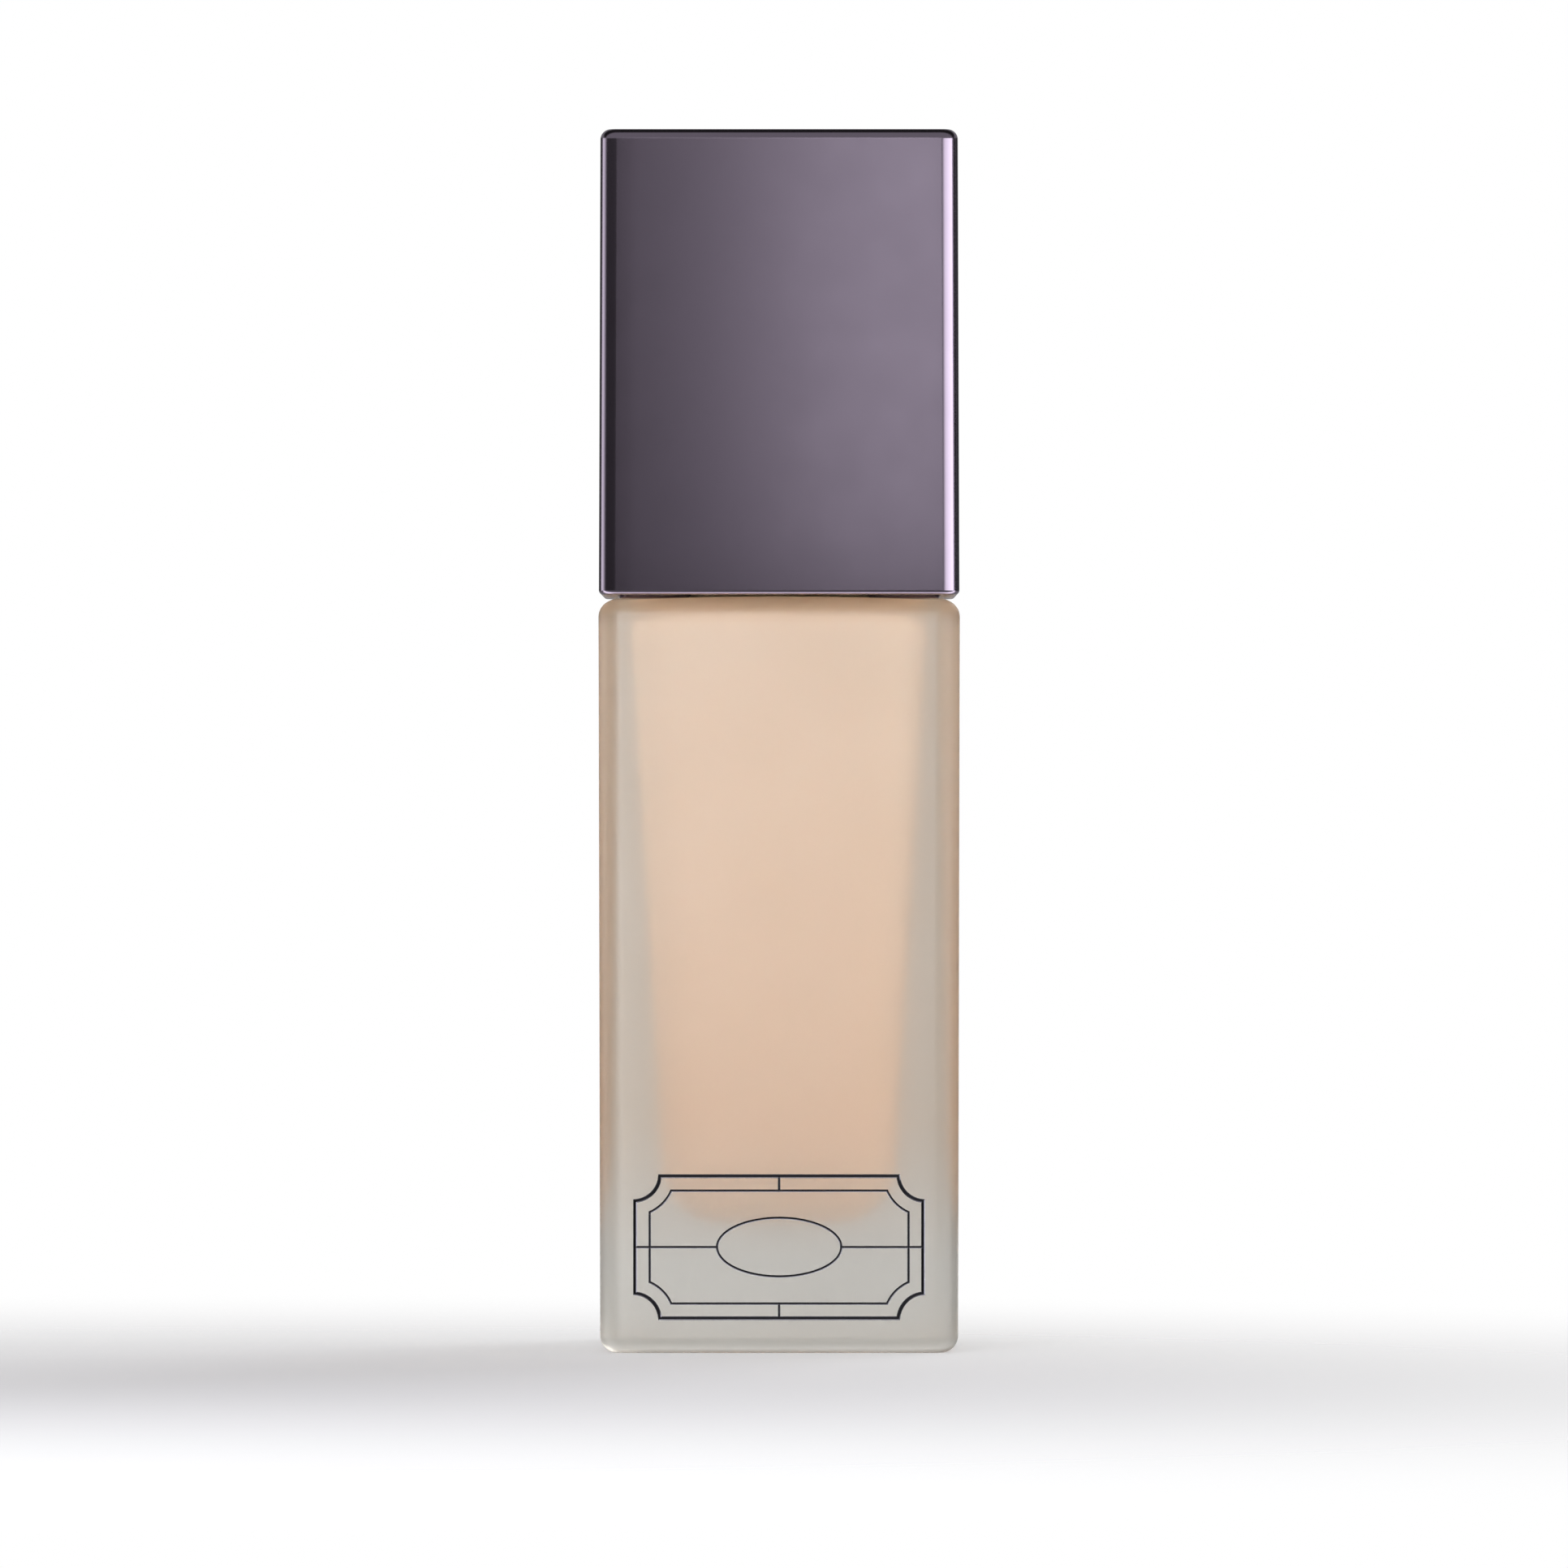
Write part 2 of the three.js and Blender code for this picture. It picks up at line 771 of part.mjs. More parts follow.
function makeCapShell() {
  const outside = {
    bottom: 0,
    top: cap.height,
    bottomHalf: cap.rimHalf,
    topHalf: cap.topHalf,
    bottomRadius: cap.rimRadius,
    topRadius: cap.topRadius,
  };
  const inside = {
    bottom: -overcut,
    top: cap.innerHeight,
    bottomHalf: cap.innerHalf,
    topHalf: cap.innerHalf,
  };
  return squareBlock(outside, cap.cornerRatio).subtract(squareBlock(inside, cap.innerCornerRatio));
}

// The liner: a round cup on a square flange, held off the shell's walls by upright webs.
function makeCapLiner() {
  const { bottom, top, radius, flangeHalf, webThickness, diagonalReach, boreRadius } = liner;
  const flange = {
    bottom,
    top: liner.flangeTop,
    bottomHalf: flangeHalf,
    topHalf: flangeHalf,
  };
  const webHeight = top - bottom;
  let shape = rod(radius, bottom, top, roundSides.large).add(squareBlock(flange, cap.innerCornerRatio));
  const webs = [
    [2 * flangeHalf, 0],
    [2 * flangeHalf, 90],
    [2 * diagonalReach, 45],
    [2 * diagonalReach, 135],
  ];
  for (const [length, degrees] of webs) {
    const web = box([length, webThickness, webHeight], [0, 0, bottom + webHeight / 2]);
    shape = shape.add(web.rotate([0, 0, degrees]));
  }
  const bead = [
    [liner.beadRadius, liner.beadHeight],
    [radius, liner.beadHeight - liner.beadWidth],
    [radius, liner.beadHeight + liner.beadWidth],
  ];
  return shape
    .subtract(rod(boreRadius, 0, liner.ceiling, roundSides.large))
    .add(turned(bead, roundSides.large));
}

function finish(color, roughness, metalness = 0) {
  return new THREE.MeshStandardMaterial({ color, roughness, metalness });
}

const finishes = {
  frostedGlass: finish('#cfc6b8', 0.45),
  liquid: finish('#dcc2ad', 0.4),
  foil: finish('#3a3a3f', 0.25, 1),
  metallised: finish('#6d6270', 0.28, 1),
  whitePlastic: finish('#e4e2dc', 0.5),
  naturalPlastic: finish('#d9dadb', 0.4),
  blackPlastic: finish('#1d1b1f', 0.4),
  foam: finish('#ece9e2', 0.9),
  steel: finish('#c4c6c8', 0.2, 1),
};

const glassBottle = piece('glass_bottle', makeGlassBottle(), finishes.frostedGlass);
const foundationFill = piece('foundation_fill', makeFoundationFill(), finishes.liquid);
const foilOrnament = piece('foil_ornament', makeFoilOrnament(), finishes.foil);
foilOrnament.rotation.x = Math.PI / 2;
foilOrnament.position.set(0, -ornament.front + ornament.thickness, ornament.centreHeight);

const inletValveBall = piece('inlet_ball', makeBall(inletBall), finishes.steel);
inletValveBall.position.z = inletBall.height;
const outletValveBall = piece('outlet_ball', makeBall(outletBall), finishes.steel);
outletValveBall.position.z = outletBall.height;

const { bottom: gasketBottom, top: gasketTop, innerRadius: gasketBore, outerRadius: gasketEdge } = gasket;
const gasketRing = tube(gasketBore, gasketEdge, gasketBottom, gasketTop, roundSides.medium);

const nozzleInsert = piece('nozzle_insert', makeNozzleInsert(), finishes.blackPlastic);
nozzleInsert.rotation.x = Math.PI / 2;
nozzleInsert.position.z = actuator.channelHeight;

const actuatorGroup = new THREE.Group();
actuatorGroup.position.z = actuator.skirtAboveNeck;
actuatorGroup.add(
  piece('actuator_body', makeActuatorBody(), finishes.blackPlastic),
  piece('actuator_shell', makeActuatorShell(), finishes.metallised),
  nozzleInsert,
);

const pumpGroup = new THREE.Group();
pumpGroup.position.z = neckTop;
pumpGroup.add(
  piece('neck_gasket', gasketRing, finishes.foam),
  piece('pump_housing', makePumpHousing(), finishes.naturalPlastic),
  piece('dip_tube', makeDipTube(), finishes.naturalPlastic),
  inletValveBall,
  piece('return_spring', makeReturnSpring(), finishes.steel),
  piece('lower_stem', makeLowerStem(), finishes.naturalPlastic),
  piece('piston', makePiston(), finishes.whitePlastic),
  piece('upper_stem', makeUpperStem(), finishes.naturalPlastic),
  outletValveBall,
  piece('stem_chaplet', makeChaplet(), finishes.whitePlastic),
  piece('screw_closure', makeScrewClosure(), finishes.blackPlastic),
  piece('collar_shell', makeCollarShell(), finishes.metallised),
  actuatorGroup,
);

const capGroup = new THREE.Group();
capGroup.position.z = cap.bottom;
capGroup.add(
  piece('cap_shell', makeCapShell(), finishes.metallised),
  piece('cap_liner', makeCapLiner(), finishes.whitePlastic),
);

const foundationBottle = new THREE.Group();
foundationBottle.add(glassBottle, foundationFill, foilOrnament, pumpGroup, capGroup);

export default foundationBottle;
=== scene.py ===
import json
import math
import bmesh
import bpy
from mathutils import Matrix, Vector


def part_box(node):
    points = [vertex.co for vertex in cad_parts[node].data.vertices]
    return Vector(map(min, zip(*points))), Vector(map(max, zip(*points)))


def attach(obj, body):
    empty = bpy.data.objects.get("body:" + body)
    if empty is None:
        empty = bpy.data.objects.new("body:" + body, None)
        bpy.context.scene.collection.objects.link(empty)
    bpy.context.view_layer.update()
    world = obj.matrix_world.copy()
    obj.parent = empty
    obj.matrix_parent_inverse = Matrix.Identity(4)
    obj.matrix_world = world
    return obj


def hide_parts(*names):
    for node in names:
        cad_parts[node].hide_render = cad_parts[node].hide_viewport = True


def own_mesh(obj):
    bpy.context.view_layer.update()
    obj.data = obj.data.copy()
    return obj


# Square foundation bottle with a treatment pump and a pull-off cap.
# Lengths are in millimetres until a mesh is placed, then in metres.
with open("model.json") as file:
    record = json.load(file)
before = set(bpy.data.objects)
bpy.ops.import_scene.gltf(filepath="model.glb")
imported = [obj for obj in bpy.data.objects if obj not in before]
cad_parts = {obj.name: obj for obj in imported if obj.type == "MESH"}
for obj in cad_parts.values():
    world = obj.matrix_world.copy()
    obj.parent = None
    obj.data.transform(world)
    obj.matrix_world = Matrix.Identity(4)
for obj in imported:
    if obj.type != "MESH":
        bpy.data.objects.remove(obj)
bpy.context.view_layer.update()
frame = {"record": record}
record = frame["record"]
mm = 0.001
bodyOf = {node: body for body, nodes in record["behaviour"]["bodies"].items() for node in nodes}


def low(node):
    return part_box(node)[0].z / mm


def high(node):
    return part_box(node)[1].z / mm


neckTop = high("glass_bottle")
print("frame loaded, neck top at", round(neckTop, 2), "mm")


# Every lofted ring has the same columns: evenly spread flats, then a rounded corner, four times over.
columns = {"flat": 22, "corner": 10, "referenceHalf": 16, "referenceRadius": 2.2}


def squarePoint(half, radius, side, step):
    flatHalf = half - radius
    widest = math.atan(flatHalf / half)
    if step <= columns["flat"]:
        share = math.tan(widest * (2 * step / columns["flat"] - 1)) / math.tan(widest)
        x, y, onFlat = half, share * flatHalf, 1 - share * share
    else:
        turn = math.pi / 2 * (step - columns["flat"]) / columns["corner"]
        x, y, onFlat = flatHalf + radius * math.cos(turn), flatHalf + radius * math.sin(turn), 0
    for _ in range(side):
        x, y = -y, x
    return x, y, onFlat


def columnSteps():
    return [(side, step) for side in range(4) for step in range(columns["flat"] + columns["corner"])]


def squareRing(half, radius, z, crown=0):
    ring = []
    for side, step in columnSteps():
        x, y, onFlat = squarePoint(half, radius, side, step)
        ring.append((x, y, z + crown * onFlat))
    return ring


columnAngles = [math.atan2(y, x)
                for x, y, _ in squareRing(columns["referenceHalf"], columns["referenceRadius"], 0)]


def circleRing(radius, z, swell=None):
    ring = []
    for angle in columnAngles:
        r = radius + (swell(angle, z) if swell else 0)
        ring.append((r * math.cos(angle), r * math.sin(angle), z))
    return ring


def quarter(steps=8):
    return [math.pi / 2 * i / steps for i in range(steps + 1)]


# Skins rings into one mesh. Zones give each band its material number.
def loft(name, rings, zones=None, closeStart=True, closeEnd=True, joinEnds=False):
    bm = bmesh.new()
    rows = [[bm.verts.new(point) for point in ring] for ring in rings]
    if joinEnds:
        rows.append(rows[0])
    for band, (lower, upper) in enumerate(zip(rows, rows[1:])):
        for i in range(len(lower)):
            j = (i + 1) % len(lower)
            face = bm.faces.new((lower[i], lower[j], upper[j], upper[i]))
            face.material_index = zones[band] if zones else 0
    for wanted, row, flip, band in ((closeStart, rows[0], True, 0), (closeEnd, rows[-1], False, -1)):
        if not wanted or joinEnds:
            continue
        middle = bm.verts.new(sum((v.co for v in row), Vector()) / len(row))
        for i in range(len(row)):
            j = (i + 1) % len(row)
            corners = (row[j], row[i], middle) if flip else (row[i], row[j], middle)
            face = bm.faces.new(corners)
            face.material_index = zones[band] if zones else 0
    mesh = bpy.data.meshes.new(name)
    bm.to_mesh(mesh)
    bm.free()
    return mesh


# Corners are (radius, height) or (radius, height, fillet). Each fillet becomes a true arc.
def roundCorners(corners, closed, steps=5):
    points = []
    for i, corner in enumerate(corners):
        here = Vector(corner[:2])
        fillet = corner[2] if len(corner) > 2 else 0
        if not fillet or (not closed and i in (0, len(corners) - 1)):
            points.append(here)
            continue
        back = Vector(corners[i - 1][:2]) - here
        ahead = Vector(corners[(i + 1) % len(corners)][:2]) - here
        turn = back.angle(ahead)
        reach = min(fillet / math.tan(turn / 2), back.length * 0.49, ahead.length * 0.49)
        radius = reach * math.tan(turn / 2)
        centre = here + (back.normalized() + ahead.normalized()).normalized() * (radius / math.sin(turn / 2))
        first = here + back.normalized() * reach - centre
        last = here + ahead.normalized() * reach - centre
        sweep = first.angle(last)
        for s in range(steps + 1):
            t = s / steps
            along = first * math.sin((1 - t) * sweep) + last * math.sin(t * sweep)
            points.append(centre + along / math.sin(sweep))
    return points


# A turned piece about the upright axis. Swell moves points of the wall in or out, as a thread does.
def turned(name, corners, base=0, sides=96, swell=None, rowStep=0):
    closed = corners[0][0] > 0
    points = roundCorners(corners, closed)
    if closed:
        points.append(points[0])
    rows = [points[0]]
    for start, end in zip(points, points[1:]):
        pieces = max(1, math.ceil((end - start).length / rowStep)) if rowStep else 1
        rows += [start.lerp(end, (k + 1) / pieces) for k in range(pieces)]
    if closed:
        rows.pop()
    else:
        rows = rows[1:-1]
    rings = []
    for r, z in rows:
        ring = []
        for k in range(sides):
            angle = 2 * math.pi * k / sides
            radius = r + (swell(angle, r, z) if swell else 0)
            ring.append((radius * math.cos(angle), radius * math.sin(angle), base + z))
        rings.append(ring)
    mesh = loft(name, rings, closeStart=not closed, closeEnd=not closed, joinEnds=closed)
    if not closed:  # the two end points on the axis keep their own heights
        mesh.vertices[-2].co.z = base + points[0][1]
        mesh.vertices[-1].co.z = base + points[-1][1]
    return mesh


# Height of a right-hand thread's round bead above its wall.
def threadBump(angle, z, thread):
    best = 0
    for turn in range(-1, 4):
        along = (angle % (2 * math.pi)) / (2 * math.pi) + turn
        if not 0 <= along <= thread["turns"]:
            continue
        away = abs(z - (thread["start"] + thread["pitch"] * along)) / thread["halfWidth"]
        nearEnd = min(along, thread["turns"] - along) / (thread["turns"] * thread["fade"])
        full = min(1, nearEnd)
        if away < 1:
            eased = full * full * (3 - 2 * full)
            best = max(best, thread["height"] * math.sqrt(1 - away ** 2) ** 0.8 * eased)
    return best


# A round bar through points, closed at both ends.
def bar(name, path, radius, sides):
    bm = bmesh.new()
    rows = []
    for i, point in enumerate(path):
        along = (path[min(i + 1, len(path) - 1)] - path[max(i - 1, 0)]).normalized()
        outward = Vector((point.x, point.y, 0)).normalized()
        across = along.cross(outward).normalized()
        outward = across.cross(along)
        rows.append([bm.verts.new(point + radius * (outward * math.cos(a) + across * math.sin(a)))
                     for a in (2 * math.pi * k / sides for k in range(sides))])
    for lower, upper in zip(rows, rows[1:]):
        for i in range(sides):
            j = (i + 1) % sides
            bm.faces.new((lower[i], upper[i], upper[j], lower[j]))
    bm.faces.new(rows[0])
    bm.faces.new(reversed(rows[-1]))
    bmesh.ops.recalc_face_normals(bm, faces=bm.faces)
    mesh = bpy.data.meshes.new(name)
    bm.to_mesh(mesh)
    bm.free()
    return mesh


# A rounded block, from its lowest and highest corners.
def block(name, lowest, highest, edge, turn=0):
    bm = bmesh.new()
    bmesh.ops.create_cube(bm, size=1)
    size = Vector(highest) - Vector(lowest)
    middle = (Vector(highest) + Vector(lowest)) / 2
    for v in bm.verts:
        v.co = Vector((v.co.x * size.x, v.co.y * size.y, v.co.z * size.z)) + middle
    bmesh.ops.bevel(bm, geom=bm.edges[:], offset=edge, segments=3, profile=0.5, affect="EDGES")
    bmesh.ops.rotate(bm, verts=bm.verts, cent=(0, 0, 0), matrix=Matrix.Rotation(math.radians(turn), 3, "Z"))
    mesh = bpy.data.meshes.new(name)
    bm.to_mesh(mesh)
    bm.free()
    return mesh


def joined(name, meshes):
    bm = bmesh.new()
    for mesh in meshes:
        bm.from_mesh(mesh)
        bpy.data.meshes.remove(mesh)
    mesh = bpy.data.meshes.new(name)
    bm.to_mesh(mesh)
    bm.free()
    return mesh


# Takes one mesh out of another with Blender's exact boolean.
def cutOut(mesh, cutter):
    host = bpy.data.objects.new("host", mesh)
    tool = bpy.data.objects.new("tool", cutter)
    for item in (host, tool):
        frameScene.collection.objects.link(item)
    change = host.modifiers.new("cut", "BOOLEAN")
    change.operation, change.object, change.solver = "DIFFERENCE", tool, "EXACT"
    bpy.context.view_layer.update()
    cut = bpy.data.meshes.new_from_object(host.evaluated_get(bpy.context.evaluated_depsgraph_get()))
    for item in (host, tool):
        bpy.data.objects.remove(item)
    return cut


frameScene = bpy.context.scene
toFront = Matrix.Rotation(math.pi / 2, 4, "X")  # an upright turned piece then points along -Y


# Puts a finished mesh where the CAD node is, on the same body.
def place(name, node, mesh, materials, sharpAngle=34, weighted=True):
    mesh.name = name
    mesh.transform(Matrix.Scale(mm, 4))
    mesh.materials.clear()
    for material in materials:
        mesh.materials.append(material)
    mesh.shade_smooth()
    mesh.set_sharp_from_angle(angle=math.radians(sharpAngle))
    piece = bpy.data.objects.new(name, mesh)
    frameScene.collection.objects.link(piece)
    if weighted:
        evenNormals = piece.modifiers.new("evenNormals", "WEIGHTED_NORMAL")
        evenNormals.keep_sharp = True
    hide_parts(node)
    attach(piece, bodyOf[node])
    return piece


def linear(hexColour):
    channels = [int(hexColour[i:i + 2], 16) / 255 for i in (1, 3, 5)]
    return (*(c / 12.92 if c <= 0.04045 else ((c + 0.055) / 1.055) ** 2.4 for c in channels), 1)


# Adds a node with its settings, and links its inputs from other nodes' outputs.
def addNode(tree, kind, settings=None, links=None):
    node = tree.nodes.new(kind)
    for name, value in (settings or {}).items():
        if isinstance(name, int) or name in node.inputs:
            node.inputs[name].default_value = value
        else:
            setattr(node, name, value)
    for name, source in (links or {}).items():
        tree.links.new(source, node.inputs[name])
    return node


def fillRamp(ramp, stops):
    for i, (position, colour) in enumerate(stops):
        stop = ramp.elements[i] if i < 2 else ramp.elements.new(position)
        stop.position = position
        stop.color = colour


def perMetre(millimetres):  # noise scale for a pattern of this size
    return 1 / (millimetres * mm)


def newMaterial(name):
    material = bpy.data.materials.new(name)
    material.use_nodes = True
    tree = material.node_tree
    shader = tree.nodes["Principled BSDF"]
    place = addNode(tree, "ShaderNodeTexCoord").outputs["Object"]
    return material, tree, shader, place


# Multiplies a colour by one that changes with height. Stops are (millimetres above the base, colour).
def tintedByHeight(tree, place, colour, stops):
    axes = addNode(tree, "ShaderNodeSeparateXYZ", {}, {"Vector": place})
    lowest, highest = stops[0][0] * mm, stops[-1][0] * mm
    share = addNode(tree, "ShaderNodeMapRange", {"From Min": lowest, "From Max": highest},
                    {"Value": axes.outputs["Z"]})
    ramp = addNode(tree, "ShaderNodeValToRGB", {}, {"Fac": share.outputs["Result"]})
    fillRamp(ramp.color_ramp, [((height * mm - lowest) / (highest - lowest), linear(tone))
                               for height, tone in stops])
    tinted = addNode(tree, "ShaderNodeMix", {"data_type": "RGBA", "blend_type": "MULTIPLY", 0: 1.0},
                     {6: colour, 7: ramp.outputs["Color"]})
    return tinted.outputs[2]


noiseReach = (0.3, 0.7)  # noise seldom leaves these values


# A surface whose colour, roughness and relief all wander a little, at their own sizes.
def surface(name, look):
    material, tree, shader, place = newMaterial(name)
    cloud = addNode(tree, "ShaderNodeTexNoise",
                    {"Scale": perMetre(look["cloudSize"]), "Detail": 4.0, "Roughness": 0.55},
                    {"Vector": place})
    first, second = look["colours"]
    tint = addNode(tree, "ShaderNodeMix", {"data_type": "RGBA", 6: linear(first), 7: linear(second)},
                   {0: cloud.outputs["Fac"]})
    colour = tint.outputs[2]
    if "heights" in look:
        colour = tintedByHeight(tree, place, colour, look["heights"])
    tree.links.new(colour, shader.inputs["Base Color"])
    smoothest, roughest = look["roughness"]
    wander = addNode(tree, "ShaderNodeMapRange",
                     {"From Min": noiseReach[0], "From Max": noiseReach[1],
                      "To Min": smoothest, "To Max": roughest},
                     {"Value": cloud.outputs["Fac"]})
    tree.links.new(wander.outputs["Result"], shader.inputs["Roughness"])
    grit = addNode(tree, "ShaderNodeTexNoise",
                   {"Scale": perMetre(look["gritSize"]), "Detail": 3.0, "Roughness": 0.6}, {"Vector": place})
    relief = addNode(tree, "ShaderNodeBump",
                     {"Strength": look["gritStrength"], "Distance": look["gritDepth"] * mm},
                     {"Height": grit.outputs["Fac"]})
    tree.links.new(relief.outputs["Normal"], shader.inputs["Normal"])
    for socket, value in look.get("shader", {}).items():
        shader.inputs[socket].default_value = value
    return material


# Pattern sizes and relief depths are in millimetres. Heights are (millimetres above the base, tint).
looks = {
    # acid-etched soda-lime glass: milky, a soft veil over what is inside; its warmer tone above the base is
    # painted warm light from the liquid, and its darker tone at the shoulder is painted shade under the cap;
    # the real grit is finer, and is drawn coarser to show
    "acidEtchedGlass": {
        "colours": ("#f8f6f0", "#f3f1ea"), "cloudSize": 9, "roughness": (0.38, 0.43),
        "gritSize": 0.16, "gritStrength": 0.12, "gritDepth": 0.02,
        # heights: painted warm light from the liquid from 20 mm up, and deeper painted shade under the cap
        # from 64.5 mm up
        "heights": ((8, "#ffffff"), (20, "#fff2e6"), (64.5, "#fff2e6"), (66, "#f4dcc3")),
        "shader": {"Transmission Weight": 0.93, "IOR": 1.5},
    },
    # the mould's inner face of the same glass, fire-polished and slightly wavy
    "firePolishedGlass": {
        "colours": ("#f6f4ee", "#efece4"), "cloudSize": 12, "roughness": (0.06, 0.1),
        "gritSize": 5, "gritStrength": 0.1, "gritDepth": 0.2,
        "shader": {"Transmission Weight": 1.0, "IOR": 1.5},
    },
    # pigment in an oil and water emulsion: creamy, opaque, light spreads a little under its surface, and the
    # tone deepens towards the foot
    "pigmentedEmulsion": {
        "colours": ("#d8c9bd", "#d4c3b4"), "cloudSize": 14, "roughness": (0.4, 0.5),
        "gritSize": 2.5, "gritStrength": 0.05, "gritDepth": 0.05,
        "heights": ((11, "#f6e4d4"), (30, "#faf0e6"), (50, "#fffcf9"), (66, "#ffffff")),
        "shader": {"IOR": 1.4, "Specular IOR Level": 0.3, "Subsurface Weight": 0.15, "Subsurface Scale": 0.001,
                   "Subsurface Radius": (1.0, 0.6, 0.4)},
    },
    # vacuum-metallised ABS under a mauve-grey lacquer: a satin metal, whose reflections are cloudy but keep
    # their edges
    "metallisedAbs": {
        "colours": ("#8b8091", "#867b8c"), "cloudSize": 5, "roughness": (0.193, 0.207),
        "gritSize": 0.35, "gritStrength": 0.05, "gritDepth": 0.01,
        "shader": {"Metallic": 1.0, "Coat Weight": 0.25, "Coat Roughness": 0.12},
    },
    # hot-stamped foil: dark, bright only along its pressed edges
    "hotStampedFoil": {
        "colours": ("#6c6b73", "#57565d"), "cloudSize": 1.2, "roughness": (0.12, 0.2),
        "gritSize": 0.2, "gritStrength": 0.15, "gritDepth": 0.02,
        "shader": {"Metallic": 1.0},
    },
    # injection-moulded white polypropylene, faintly waxy
    "mouldedWhitePolypropylene": {
        "colours": ("#e9e7e1", "#e2e0d9"), "cloudSize": 8, "roughness": (0.36, 0.46),
        "gritSize": 0.4, "gritStrength": 0.08, "gritDepth": 0.02,
        "shader": {"IOR": 1.49, "Subsurface Weight": 0.1, "Subsurface Scale": 0.0006,
                   "Subsurface Radius": (1.0, 1.0, 1.0)},
    },
    # softer white polyethylene: duller than the polypropylene beside it
    "mouldedWhitePolyethylene": {
        "colours": ("#ecebe7", "#e4e3de"), "cloudSize": 6, "roughness": (0.44, 0.54),
        "gritSize": 0.3, "gritStrength": 0.1, "gritDepth": 0.02,
        "shader": {"IOR": 1.51, "Subsurface Weight": 0.15, "Subsurface Scale": 0.0008,
                   "Subsurface Radius": (1.0, 1.0, 1.0)},
    },
    # uncoloured polypropylene: cloudy and see-through at once
    "mouldedNaturalPolypropylene": {
        "colours": ("#e9ebea", "#dfe2e1"), "cloudSize": 7, "roughness": (0.28, 0.36),
        "gritSize": 0.5, "gritStrength": 0.06, "gritDepth": 0.02,
        "shader": {"IOR": 1.49, "Transmission Weight": 0.45},
    },
    # extruded clear polyethylene tube, drawn out so that its haze is nearly even
    "extrudedClearPolyethylene": {
        "colours": ("#eef0ef", "#e4e7e6"), "cloudSize": 5, "roughness": (0.22, 0.3),
        "gritSize": 0.8, "gritStrength": 0.06, "gritDepth": 0.03,
        "shader": {"IOR": 1.51, "Transmission Weight": 0.6},
    },
    # black polypropylene with a fine spark-eroded texture
    "sparkErodedBlackPolypropylene": {
        "colours": ("#1f1d21", "#19171b"), "cloudSize": 7, "roughness": (0.38, 0.48),
        "gritSize": 0.25, "gritStrength": 0.18, "gritDepth": 0.02,
        "shader": {"IOR": 1.49},
    },
    # closed-cell foam liner: matt and pitted
    "closedCellFoam": {
        "colours": ("#efece5", "#e3dfd6"), "cloudSize": 0.8, "roughness": (0.8, 0.95),
        "gritSize": 0.3, "gritStrength": 0.5, "gritDepth": 0.06,
        "shader": {"IOR": 1.5, "Specular IOR Level": 0.3},
    },
    # bearing-polished stainless steel
    "polishedStainlessSteel": {
        "colours": ("#c9cbcd", "#bfc1c4"), "cloudSize": 1, "roughness": (0.08, 0.14),
        "gritSize": 0.2, "gritStrength": 0.05, "gritDepth": 0.01,
        "shader": {"Metallic": 1.0},
    },
    # cold-drawn spring wire, with faint draw marks
    "drawnSpringWire": {
        "colours": ("#b9bbbd", "#a5a7aa"), "cloudSize": 0.7, "roughness": (0.2, 0.32),
        "gritSize": 0.12, "gritStrength": 0.2, "gritDepth": 0.01,
        "shader": {"Metallic": 1.0},
    },
}
made = {name: surface(name, look) for name, look in looks.items()}
print("materials made:", len(made))


glass = {
    "heelHalf": 15.85, "shoulderHalf": 16.0, "height": 66.8, "cornerRadius": 2.24, "edgeRadius": 1.5,
    "recessHalf": 11.2, "recessCorner": 1.6, "recessDepth": 0.5, "standEdge": 0.5, "standCorner": 1.7,
    "crown": 0.29,  # the shoulder stands this much higher at the middle of each side
    "cornerDrop": 0.14,
    "neckRadius": 7.8, "neckRoot": 0.7, "lipFillet": 0.6,
    "boreRadius": 5.6, "mouthFillet": 0.4, "boreFlare": 0.8,
    "beadHeight": 68.3, "beadRise": 0.5, "beadHalf": 0.6,
    "cavityFloor": 11.3, "cavityCeiling": 65.9, "floorHalf": 10.1, "ceilingHalf": 13.3,
    "floorRadius": 5.0, "ceilingRadius": 1.8, "cavityCorner": 0.35,
    "wallRows": 12, "cavityRows": 10, "neckRows": 60, "boreRows": 5,
}
neckThread = {"start": 69.9, "pitch": 3.175, "turns": 1.25, "height": 0.95, "halfWidth": 1.0, "fade": 0.14}


def wallHalf(z):
    return glass["heelHalf"] + (glass["shoulderHalf"] - glass["heelHalf"]) * z / glass["height"]


def cavityHalf(z):
    share = (z - glass["cavityFloor"]) / (glass["cavityCeiling"] - glass["cavityFloor"])
    return glass["floorHalf"] + (glass["ceilingHalf"] - glass["floorHalf"]) * share


# Rings of the space inside the glass, from the floor to the ceiling, grown outwards by grow.
def cavityRings(grow=0):
    measures = []
    floor, ceiling = glass["cavityFloor"] - grow, glass["cavityCeiling"] + grow
    for share in (0.25, 0.6):
        measures.append(((cavityHalf(floor) - glass["floorRadius"]) * share, floor))
    for a in quarter(12):
        z = floor + glass["floorRadius"] * (1 - math.cos(a))
        measures.append((cavityHalf(z) + grow - glass["floorRadius"] * (1 - math.sin(a)), z))
    wallFoot, wallHead = floor + glass["floorRadius"], ceiling - glass["ceilingRadius"]
    for step in range(1, glass["cavityRows"]):
        z = wallFoot + (wallHead - wallFoot) * step / glass["cavityRows"]
        measures.append((cavityHalf(z) + grow, z))
    for a in reversed(quarter(8)):
        z = ceiling - glass["ceilingRadius"] * (1 - math.cos(a))
        measures.append((cavityHalf(z) + grow - glass["ceilingRadius"] * (1 - math.sin(a)), z))
    return [squareRing(half, half * glass["cavityCorner"], z) for half, z in measures]


